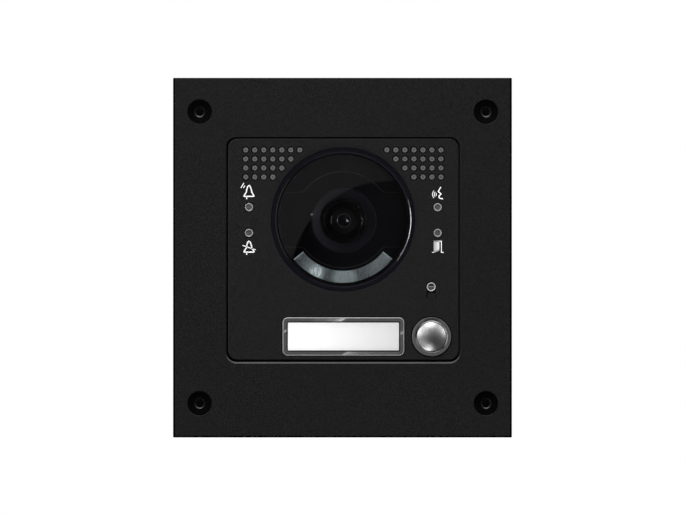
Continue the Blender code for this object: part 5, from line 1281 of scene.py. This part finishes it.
# %% [markdown]
# ## Name window
# A clear moulded frame with a polished edge holds a thin pane over a blank white card, whose glow is
# painted as if the light guide lit it from behind. Light gathers in the edges of clear plastic, so the
# edge is painted a lighter grey as a highlight, besides the glints of its lamps, and the dark step inside
# the border is painted black as shade. The edge, the flat border and the step are three closed profiles
# carried round one outline, each with its own finish. They cast no shadow, as clear plastic wouldn't. The
# border is cut into its level rows and its two ends, because each has lamps of its own.

# %% Make the name window's frame
NAME_BORDER, NAME_CHAMFER, EDGE_WIDTH, STEP_WIDTH = 2.35 * MM, 0.30 * MM, 0.15 * MM, 0.50 * MM
BORDER_SUNK, STEP_SUNK = 0.25 * MM, 0.2 * MM
EDGE_SOFT, BORDER_SOFT = 0.12 * MM, 0.05 * MM

name_front, name_back = name_low.y, name_high.y
border_y, step_y = name_front + BORDER_SUNK, name_front + BORDER_SUNK + STEP_SUNK
edge_inner, border_inner = -NAME_CHAMFER - EDGE_WIDTH, STEP_WIDTH - NAME_BORDER
edge_profile = [(0, name_back), (0, name_front + NAME_CHAMFER), (-NAME_CHAMFER, name_front),
                (edge_inner, name_front), (edge_inner, name_back)]
frame_edge = hoop("name_window_edge", name_outline, edge_profile, EDGE_SOFT)
flat_profile = band(border_inner, edge_inner, border_y, name_back)
border_rows = hoop("name_window_rows", name_outline, flat_profile, BORDER_SOFT, steps=2)
border_ends = hoop("name_window_ends", name_outline, flat_profile, BORDER_SOFT, steps=2)
step_profile = band(-NAME_BORDER, border_inner, step_y, name_back)
frame_step = hoop("name_window_step", name_outline, step_profile, BORDER_SOFT, steps=2)


def upright_bar(left, right):
    """A cutter across the name window, from left to right."""
    low, high = (left, name_low.z - OVERRUN), (right, name_high.z + OVERRUN)
    outline = rounded_box(low, high, corner=0, steps=2)
    return sweep("upright_bar", outline, [(0, name_back + OVERRUN), (0, name_front - OVERRUN)])


turn_left, turn_right = name_low.x + NAME_BORDER, name_high.x - NAME_BORDER
cut(border_ends, upright_bar(turn_left, turn_right))
cut(border_rows, upright_bar(name_low.x - OVERRUN, turn_left))
cut(border_rows, upright_bar(turn_right, name_high.x + OVERRUN))
# The edge is painted a lighter grey as a highlight, and the step is painted black as shade.
dress(frame_edge, "edge_painted_highlight", "clear_plastic", "name_window")
dress(border_rows, "border_plastic", "clear_plastic", sharp=1)
dress(border_ends, "border_plastic", "clear_plastic", sharp=1)
dress(frame_step, "black_and_painted_shade", "clear_plastic")

# %% Make the pane and the painted shade in the gap round the frame
PANE_THICKNESS = 0.5 * MM

# A black ring of painted shade fills the gap round the frame.
dress(sweep("name_window_gap_shade", name_outline, shade_band(0), loop=True), "black_and_painted_shade", "rubber")
pane = sweep("name_window_pane", name_outline,
             [(-NAME_BORDER, step_y + PANE_THICKNESS), (-NAME_BORDER, step_y)])
dress(pane, "thin_pane", "clear_plastic")
for piece in (frame_edge, border_rows, border_ends, frame_step, pane):
    piece.visible_shadow = False

# %% [markdown]
# A polished border shows what hangs beside the camera. A few slanting strips there, each linked to the
# border's rows or to its ends, add up to the sheens that cross it and fade to one side. Two small lamps
# low at the sides make the glints on the frame's edge.

# %% Hang the strips for the border
STRIP_TILT, STRIP_LENGTH = 30, 0.5
ROW_STRIPS = ((-17.5, -24.1, 1.0), (-20.5, -24.1, 1.5), (-22.2, -24.1, 3.0), (-23.2, -24.1, 5.0),
              (-37.0, -38.2, 2.4), (-37.0, -39.6, 1.6), (-37.0, -43.0, 0.8), (-37.0, -49.0, 0.5))
END_STRIPS = ((-15.0, -15.8, 6.0), (-41.6, -42.4, 6.0))
GLINTS = {
    "edge_glint_0": ((-0.60, -0.34, -0.62), 0.12, 0.12, 22.0),
    "edge_glint_2": ((0.60, -0.34, -0.62), 0.12, 0.12, 22.0),
}

tilt = math.radians(STRIP_TILT)
for piece, strips in ((border_rows, ROW_STRIPS), (border_ends, END_STRIPS)):
    for start, end, radiance in strips:
        across = (start + end) * MM
        place = (-across * math.sin(tilt), camera.location.y, across * math.cos(tilt))
        name, height = f"strip_{-start:.0f}_{-end:.0f}", 2 * abs(end - start) * MM
        lamp_on([piece], name, place, STRIP_LENGTH, height, radiance, STRIP_TILT)
for name, what in GLINTS.items():
    lamp_on([frame_edge], name, *what)
print(len(ROW_STRIPS) + len(END_STRIPS), "strips for the border and", len(GLINTS), "glints")

# %% [markdown]
# The card is plain white paper, painted a little greyer to the right as shade, and painted with a glow
# for some light through it from behind. A range along X picks the grey, a fine noise gives the fibres,
# and a weak emission is the painted back light.

# %% Make the name card
CARD_PAINTED_GLOW, CARD_ROUGH = 0.40, 0.7
CARD_LEFT, CARD_RIGHT_SHADE, CARD_SHADE_START = 0.57, 0.252, 0.56
PAPER_GRAIN, PAPER_SHADE, PAPER_RELIEF = 3000, 0.03, 0.002 * MM
CARD_CORNER, CARD_EDGE = 0.4 * MM, 0.08 * MM

card_low, card_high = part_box("name_card")
# The card is painted greyer towards the right as shade, and its emission is a painted glow.
finishes["card_white"], tree, shader = new_finish(
    "card_white", Roughness=CARD_ROUGH, Emission_Color=(1, 1, 1, 1), Emission_Strength=CARD_PAINTED_GLOW)
along = spread(tree, axes(tree)["X"], card_low.x * CARD_SHADE_START, card_high.x, 0.0, 1.0)
fibres = number(tree, "MULTIPLY", grain(tree, PAPER_GRAIN), PAPER_SHADE)
tint(tree, shader, number(tree, "ADD", along, fibres), [CARD_LEFT] * 3, [CARD_RIGHT_SHADE] * 3, 0.0, 1.0)
relief(tree, shader, grain(tree, PAPER_GRAIN), PAPER_RELIEF)
card = sweep("name_card_paper", rounded_box(card_low.xz, card_high.xz, CARD_CORNER, steps=4),
             [(0, card_high.y)] + round_over(CARD_EDGE, card_low.y, steps=2))
dress(card, "card_white", "card_white", "name_card")

# %% [markdown]
# ## Call button
# The button is a satin chrome dome in a grey ring with a thin polished lip. The dome is a turned profile
# with a flange that holds it in, a pocket for its spring and a stem for the switch. It rides on the
# moving body, so it goes in with the joint. The ring and its lip stay on the panel.

# %% Make the button ring and its lip
BUTTON_LIP, BUTTON_SKIRT, RING_BORE = 6.95 * MM, 0.8 * MM, 7.26 * MM
RING_HEAD, RING_DROP, LIP_SEAT = 2.1 * MM, 0.1 * MM, 0.6 * MM
BORE_CHAMFER, RING_CHAMFER, RING_SOFT = (0.15 * MM, 0.2 * MM), (0.2 * MM, 0.1 * MM), 0.2 * MM
LIP_INNER, LIP_OUTER, LIP_TILT, LIP_PROUD = 6.76 * MM, 7.18 * MM, 31, 0.15 * MM
RING_GREY_AND_SHADE = ([0.078] * 3, [0.030] * 3)
SHADE_INSET, SHADE_INNER, SHADE_REACH = 0.5 * MM, 2.0 * MM, 4.2 * MM

button_low, button_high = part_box("button_ring")
button_outline = disc(button_place, steps=96)
ring_head, ring_y, lip_seat = button_low.y + RING_HEAD, button_low.y + RING_DROP, button_low.y + LIP_SEAT
button_profile = [(RING_BORE, lip_seat), (RING_BORE, ring_y + BORE_CHAMFER[1]),
                  (RING_BORE + BORE_CHAMFER[0], ring_y), (BUTTON_OUTER - RING_CHAMFER[0], ring_y),
                  (BUTTON_OUTER, ring_y + RING_CHAMFER[1]), (BUTTON_OUTER, ring_head),
                  (BUTTON_LIP + BUTTON_SKIRT, ring_head), (BUTTON_LIP + BUTTON_SKIRT, button_high.y),
                  (BUTTON_LIP, button_high.y), (BUTTON_LIP, lip_seat)]
button_ring = hoop("button_ring_grey", button_outline, button_profile, RING_SOFT)
# The ring is painted darker towards its top, as painted shade, by one patch of the satin finish.
shade = (button_place[0], button_low.y, button_place[1] + BUTTON_OUTER - SHADE_INSET)
finishes["ring_grey"] = satin_painted_light("ring_grey", *RING_GREY_AND_SHADE, [(shade, SHADE_INNER, SHADE_REACH, 1.0)])
dress(button_ring, "ring_grey", "bezel_grey", "button_ring")
lip_top = button_low.y - LIP_PROUD
lip_bottom = lip_top + (LIP_OUTER - LIP_INNER) * math.tan(math.radians(LIP_TILT))
lip_profile = [(LIP_INNER, lip_top), (LIP_OUTER, lip_bottom),
               (LIP_OUTER, lip_seat), (LIP_INNER, lip_seat)]
button_lip = sweep("button_ring_lip", button_outline, lip_profile, loop=True)
dress(button_lip, "lip_steel", "chrome", sharp=10)

# %% Make the button cap
CAP_RADIUS, CAP_RISE, CAP_EDGE, CAP_LIFT = 6.66 * MM, 2.2 * MM, 0.15 * MM, 0.05 * MM
CAP_FIT, FLANGE_THICKNESS = 0.3 * MM, 1.0 * MM
POCKET_RADIUS, POCKET_DEPTH, STEM_RADIUS, STEM_END = 5.7 * MM, 2.1 * MM, 2.3 * MM, 0.02 * MM

cap_low, cap_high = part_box("button_cap")
cap_place = (button_place[0], button_place[1] + CAP_LIFT)
cap_flange = (cap_high.x - cap_low.x) / 2
cap_edge = cap_low.y + CAP_RISE
flange_front = button_high.y + CAP_FIT
flange_back, pocket_floor = flange_front + FLANGE_THICKNESS, button_low.y + POCKET_DEPTH
cap_profile = dome(CAP_RADIUS - CAP_EDGE, CAP_RISE, cap_edge, steps=20)
cap_profile += [(CAP_RADIUS, cap_edge + CAP_EDGE), (CAP_RADIUS, flange_front),
                (cap_flange, flange_front), (cap_flange, flange_back), (POCKET_RADIUS, flange_back),
                (POCKET_RADIUS, pocket_floor), (STEM_RADIUS, pocket_floor), (STEM_RADIUS, cap_high.y),
                (STEM_END, cap_high.y)]
cap = sweep("button_cap_chrome", disc(cap_place, steps=96), cap_profile)
dress(cap, "chrome", "chrome", "button_cap", body="call_button")

# %% [markdown]
# Chrome has no colour of its own: the bands in the dome are pictures of the lamps round it. So the
# softboxes leave it out, with the other pieces that have lamps of their own, and seven lamps draw its
# bands. Four more light the polished lip, each a part of its circle.

# %% Light the button
CAP_LAMPS = {
    "button_top": ((-0.05, -0.40, 0.84), 0.70, 0.36, 7.0),
    "button_upper_left": ((-0.58, -0.66, 0.50), 0.76, 0.72, 1.2),
    "button_upper_right": ((0.74, -0.42, 0.56), 0.40, 0.45, 2.2),
    "button_left": ((-0.96, -0.40, 0.30), 0.36, 0.60, 5.2),
    "button_right": ((1.02, -0.38, 0.28), 0.24, 0.40, 5.2),
    "button_low": ((-0.26, -0.22, -0.86), 0.96, 0.28, 4.6),
    "button_low_left": ((-0.42, -0.56, -0.56), 0.95, 0.40, 0.95, -38),
}
LIP_LAMPS = {
    "lip_right": ((1.00, -0.42, 0.02), 0.30, 1.30, 5.5),
    "lip_left": ((-0.80, -0.42, -0.40), 0.24, 0.40, 5.0),
    "lip_top": ((0.0, -0.42, 0.90), 1.70, 0.20, 12.0),
    "lip_low": ((0.10, -0.42, -0.90), 1.30, 0.20, 4.5),
}

shaded = [cap, window, bezel, barrel, lens]
left_out = {
    "softbox_top": shaded + [ring, button_lip],
    "softbox_low": shaded + [ring],
    "softbox_left": shaded + [button_lip] + sockets,
    "softbox_right": shaded + [ring, button_lip] + sockets,
}
for name, pieces in left_out.items():
    group = gathered(f"shaded_from_{name}", pieces, "EXCLUDE")
    main_lights[name].light_linking.receiver_collection = group
for piece, lamps in ((cap, CAP_LAMPS), (button_lip, LIP_LAMPS)):
    for name, what in lamps.items():
        lamp_on([piece], name, *what)
print(len(CAP_LAMPS), "lamps on the cap and", len(LIP_LAMPS), "on the lip")

# %% [markdown]
# ## Button spring
# A coil of steel wire sits in the cap's pocket and pushes the button out again. A helix is a circle that
# moves along its axis as it turns, so each ring of points stands across the wire at one step of the turn.
# The first and last part of a turn lie flat, as the ends of a real coil do. A pressed spring gets
# shorter.

# %% Wind the button spring
SPRING_WIRE = 0.7 * MM
SPRING_TURNS, SPRING_STEPS, WIRE_SIDES = 5, 24, 10
FLAT_TURN = 0.7

spring_low, spring_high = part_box("button_spring")
wire_radius = SPRING_WIRE / 2
coil_radius = (spring_high.x - spring_low.x) / 2 - wire_radius
rising_turns = SPRING_TURNS - 2 * FLAT_TURN
climb = (spring_high.y - spring_low.y - SPRING_WIRE) / rising_turns
wire_points, wire_faces = [], []
ring_count = SPRING_TURNS * SPRING_STEPS + 1
for step in range(ring_count):
    turn = step / SPRING_STEPS
    risen = min(max(turn - FLAT_TURN, 0), rising_turns)
    outward = Vector((math.cos(2 * math.pi * turn), 0, math.sin(2 * math.pi * turn)))
    axis_point = Vector((button_place[0], spring_low.y + wire_radius + climb * risen, button_place[1]))
    slope = climb / (2 * math.pi * coil_radius) if 0 < risen < rising_turns else 0
    across = outward.cross(Vector((-outward.z, slope, outward.x)).normalized())
    for side in range(WIRE_SIDES):
        angle = 2 * math.pi * side / WIRE_SIDES
        from_wire = (outward * math.cos(angle) + across * math.sin(angle)) * wire_radius
        wire_points.append(axis_point + outward * coil_radius + from_wire)
for step in range(ring_count - 1):
    for side in range(WIRE_SIDES):
        here, beside = step * WIRE_SIDES + side, step * WIRE_SIDES + (side + 1) % WIRE_SIDES
        wire_faces.append((here, beside, beside + WIRE_SIDES, here + WIRE_SIDES))
last_ring = (ring_count - 1) * WIRE_SIDES
wire_faces += [range(WIRE_SIDES), range(last_ring, last_ring + WIRE_SIDES)]
spring = dress(solid("button_spring_coil", wire_points, wire_faces), "steel", "steel", "button_spring")
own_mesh(spring)

# %% [markdown]
# ## Pictograms
# Four small white signs are printed beside the light pipes: a ringing bell, a crossed-out bell,
# a speaking head and an open door. Each is a set of strokes. A stroke is a ribbon with a width along
# a few points, given a little thickness, so that it can be seen and exported as a mesh.

# %% Draw strokes
INK = 0.04 * MM
LEAST_MITRE = 0.5


def ribbon(points, width, closed=False):
    """The two edges of a ribbon along points: offsets along the mitre at each point."""
    left, right = [], []
    count = len(points)
    for index, point in enumerate(points):
        here = Vector(point)
        before = Vector(points[index - 1]) if closed or index else None
        after = Vector(points[(index + 1) % count]) if closed or index < count - 1 else None
        along_in = (here - before).normalized() if before else (after - here).normalized()
        along_out = (after - here).normalized() if after else along_in
        mitre = (along_in + along_out).normalized()
        half = width / 2 / max(mitre.dot(along_out), LEAST_MITRE)
        left.append(here + Vector((-mitre.y, mitre.x)) * half)
        right.append(here - Vector((-mitre.y, mitre.x)) * half)
    return (left + left[:1], right + right[:1]) if closed else (left, right)


def flat_sign(name, rows, finish="sign_white"):
    """A thin solid from pairs of edges, each pair a strip of quads, standing on the fascia."""
    bm = bmesh.new()
    for edges in rows:
        top = [[bm.verts.new((p.x, fascia_y - INK, p.y)) for p in side] for side in edges]
        base = [[bm.verts.new((p.x, fascia_y, p.y)) for p in side] for side in edges]
        last = len(edges[0]) - 1
        sides = ((top[0], top[1]), (base[0], base[1]), (top[0], base[0]), (top[1], base[1]))
        for near, far in sides:
            for index in range(last):
                bm.faces.new((near[index], near[index + 1], far[index + 1], far[index]))
        for index in (0, last):
            bm.faces.new((top[0][index], top[1][index], base[1][index], base[0][index]))
    bmesh.ops.recalc_face_normals(bm, faces=bm.faces)
    return dress(from_bmesh(name, bm), finish, "card_white")


def placed(points, centre):
    """Points in millimetres about a sign's centre, in the frame's metres."""
    return [(centre[0] + x * MM, centre[1] + z * MM) for x, z in points]


def beside_pipe(corner, rise):
    """The centre of a sign above or below a light pipe."""
    return (pipe_places[corner][0], pipe_places[corner][1] + rise)


# %% Draw the bells
STROKE = 0.54 * MM
THIN, FINE, FINEST = 0.9 * STROKE, 0.7 * STROKE, 0.6 * STROKE
BELL_RISE, HEAD_RISE, LOWER_RISE = 7.1 * MM, 6.3 * MM, -6.2 * MM
BELL_HALF = [(0.0, 2.58), (0.50, 2.2), (0.90, 1.1), (1.28, -0.6), (2.38, -2.3)]
BELL_SOFT = 0.45
CLAPPER = [(-0.9, -2.4), (-1.1, -3.5)]
RINGING = [[(-2.3, 3.6), (-3.6, 1.4)], [(-1.8, 2.5), (-2.5, 1.4)]]
SLASH = [(-2.9, 0.7), (3.0, -1.3)]

bell = softened(BELL_HALF + [(-x, z) for x, z in BELL_HALF[:0:-1]], BELL_SOFT, loop=True)
bell_signs = {
    "sign_bell": (beside_pipe("upper_left", BELL_RISE), RINGING),
    "sign_crossed_bell": (beside_pipe("lower_left", LOWER_RISE), [SLASH]),
}
for sign_name, (centre, extras) in bell_signs.items():
    strokes = [ribbon(placed(bell, centre), STROKE, closed=True), ribbon(placed(CLAPPER, centre), THIN)]
    strokes += [ribbon(placed(line, centre), FINE) for line in extras]
    flat_sign(sign_name, strokes)

# %% Draw the speaking head
HEAD = [(1.4, 2.7), (0.2, 0.7), (1.5, -0.5), (0.5, -1.3), (0.7, -2.3), (2.3, -2.6)]
HEAD_CORNER = 0.2
SOUND_CENTRE, SOUND_REACHES, SOUND_TURNS = (0.2, -0.6), (0.9, 1.7, 2.5), range(140, 221, 10)

centre = beside_pipe("upper_right", HEAD_RISE)
strokes = [ribbon(placed(softened(HEAD, HEAD_CORNER, steps=2), centre), THIN)]
for reach in SOUND_REACHES:
    arc = [(SOUND_CENTRE[0] + reach * math.cos(math.radians(turn)),
            SOUND_CENTRE[1] + reach * math.sin(math.radians(turn))) for turn in SOUND_TURNS]
    strokes.append(ribbon(placed(arc, centre), FINEST))
flat_sign("sign_speaking_head", strokes)

# %% Draw the open door
DOOR_LEAF = ([(-1.8, 2.6), (-1.8, -2.5)], [(0.7, 2.6), (0.7, -1.5)])
DOOR_FRAME = [(-1.8, 2.5), (1.6, 2.5), (1.6, -2.4), (2.6, -2.4)]
DOOR_FOOT = [(-2.5, -2.4), (-1.8, -2.4), (0.7, -1.4)]
LEAF_DARK, LEAF_LIGHT, LEAF_ROUGH = 0.34, 0.80, 0.55

centre = beside_pipe("lower_right", LOWER_RISE)
leaf = [[Vector(point) for point in placed(side, centre)] for side in DOOR_LEAF]
finishes["sign_faded"], tree, shader = new_finish("sign_faded", Roughness=LEAF_ROUGH)
faded = spread(tree, axes(tree)["X"], leaf[0][0].x, leaf[1][0].x, 0.0, 1.0)
tint(tree, shader, faded, [LEAF_DARK] * 3, [LEAF_LIGHT] * 3, 0.0, 1.0)
flat_sign("sign_open_door_leaf", [leaf], "sign_faded")
flat_sign("sign_open_door", [ribbon(placed(line, centre), FINE) for line in (DOOR_FRAME, DOOR_FOOT)])

# %% [markdown]
# ## The back
# Behind the panel are the rear housing with its screws, the terminal block and the gasket. The screws
# are turned anew, with a pan head and a cross recess that two crossed bars cut. The terminals get
# their slotted screws. The other CAD parts carry over as they are: each gets a finish, and those
# that show get softer edges from modifiers that merge flat neighbours and bevel what is sharp.

# %% Make the screws of the back
PAN_RADIUS, PAN_HEIGHT, PAN_SOFT = 2.75 * MM, 1.9 * MM, 0.5 * MM
PAN_SIDE, PAN_TOP = 0.3, 0.55
SHANK_RADIUS, SHANK_TIP = 1.45 * MM, 0.6 * MM
CROSS_LENGTH, CROSS_WIDTH, CROSS_DEPTH = 2.6 * MM, 0.7 * MM, 1.1 * MM
BAR_CORNER = 0.1 * MM


def bar(place, length, width, rear, depth):
    """A cutter for a slot in a face that looks backwards."""
    low = (place[0] - length / 2, place[1] - width / 2)
    high = (place[0] + length / 2, place[1] + width / 2)
    outline = rounded_box(low, high, BAR_CORNER, steps=3)
    return sweep("bar", outline, [(0, rear + OVERRUN), (0, rear - depth)])


for screw_name in [f"{kind}_screw_{corner}" for kind in ("housing", "module") for corner in CORNERS]:
    low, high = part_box(screw_name)
    place = middle_of(screw_name)
    head_y = high.y - PAN_HEIGHT
    shank = [(SHANK_RADIUS / 2, low.y), (SHANK_RADIUS, low.y + SHANK_TIP), (SHANK_RADIUS, head_y)]
    head = [(PAN_RADIUS, head_y), (PAN_RADIUS, high.y - PAN_SIDE * PAN_HEIGHT),
            (PAN_TOP * PAN_RADIUS, high.y), (AXIS, high.y)]
    screw = sweep(f"{screw_name}_steel", disc(place, steps=40), shank + softened(head, PAN_SOFT))
    cut(screw, bar(place, CROSS_LENGTH, CROSS_WIDTH, high.y, CROSS_DEPTH))
    cut(screw, bar(place, CROSS_WIDTH, CROSS_LENGTH, high.y, CROSS_DEPTH))
    dress(screw, "steel", "steel", screw_name)

# %% Make the terminal screws
TERMINAL_WAYS = 8
TERMINAL_PITCH = 5.08 * MM
DRIVE_INSET, DRIVE_SUNK = 2.6 * MM, 0.9 * MM
DRIVE_RADIUS, DRIVE_LENGTH, DRIVE_EDGE = 1.62 * MM, 1.5 * MM, 0.2 * MM
SLOT_LENGTH, SLOT_WIDTH, SLOT_DEPTH = 3.0 * MM, 0.5 * MM, 0.6 * MM

block_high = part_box("terminal_block")[1]
rear = block_high.y - DRIVE_SUNK
drive_profile = [(DRIVE_RADIUS, rear - DRIVE_LENGTH), (DRIVE_RADIUS, rear - DRIVE_EDGE),
                 (DRIVE_RADIUS - DRIVE_EDGE, rear), (AXIS, rear)]
drives = []
for way in range(TERMINAL_WAYS):
    place = ((way - (TERMINAL_WAYS - 1) / 2) * TERMINAL_PITCH, block_high.z - DRIVE_INSET)
    drive = sweep("drive", disc(place, steps=28), drive_profile)
    drives.append(cut(drive, bar(place, SLOT_LENGTH, SLOT_WIDTH, rear, SLOT_DEPTH)))
dress(joined("terminal_screws", drives), "steel", "steel")

# %% Finish the CAD nodes that carry over
EDGE_BEVEL, BEVEL_STEPS, BEVEL_FROM, FLAT_WITHIN = 0.25 * MM, 3, 40, 1

carried = {
    "rubber": ["wall_gasket", "module_seal", "housing_seal", "window_seal", "microphone_boot"],
    "matt_black": ["rear_housing", "lens_holder", "switch_body", "speaker_left", "speaker_right"],
    "circuit_board": ["main_board", "camera_board", "illuminator_board"],
    "terminal_green": ["terminal_block"],
    "sensor_black": ["image_sensor"],
    "steel": ["camera_screw_upper", "camera_screw_lower", "microphone_capsule"],
    "white_part": ["switch_plunger"] + [f"status_led_{corner}" for corner in CORNERS],
    "frosted_plastic": ["name_light_guide"],
}
carried["white_part"] += [f"illuminator_led_{place}" for place in ("left", "middle", "right")]
for finish, names in carried.items():
    for node_name in names:
        nodes[node_name].data.materials.clear()
        nodes[node_name].data.materials.append(finishes[finish])

for node_name in ("rear_housing", "terminal_block", "wall_gasket"):
    merge = nodes[node_name].modifiers.new("merge_flats", "DECIMATE")
    merge.decimate_type = "DISSOLVE"
    merge.angle_limit = math.radians(FLAT_WITHIN)
    bevel = nodes[node_name].modifiers.new("soft_edges", "BEVEL")
    bevel.width = EDGE_BEVEL
    bevel.segments = BEVEL_STEPS
    bevel.limit_method = "ANGLE"
    bevel.angle_limit = math.radians(BEVEL_FROM)
print(sum(len(names) for names in carried.values()), "CAD nodes carry over")
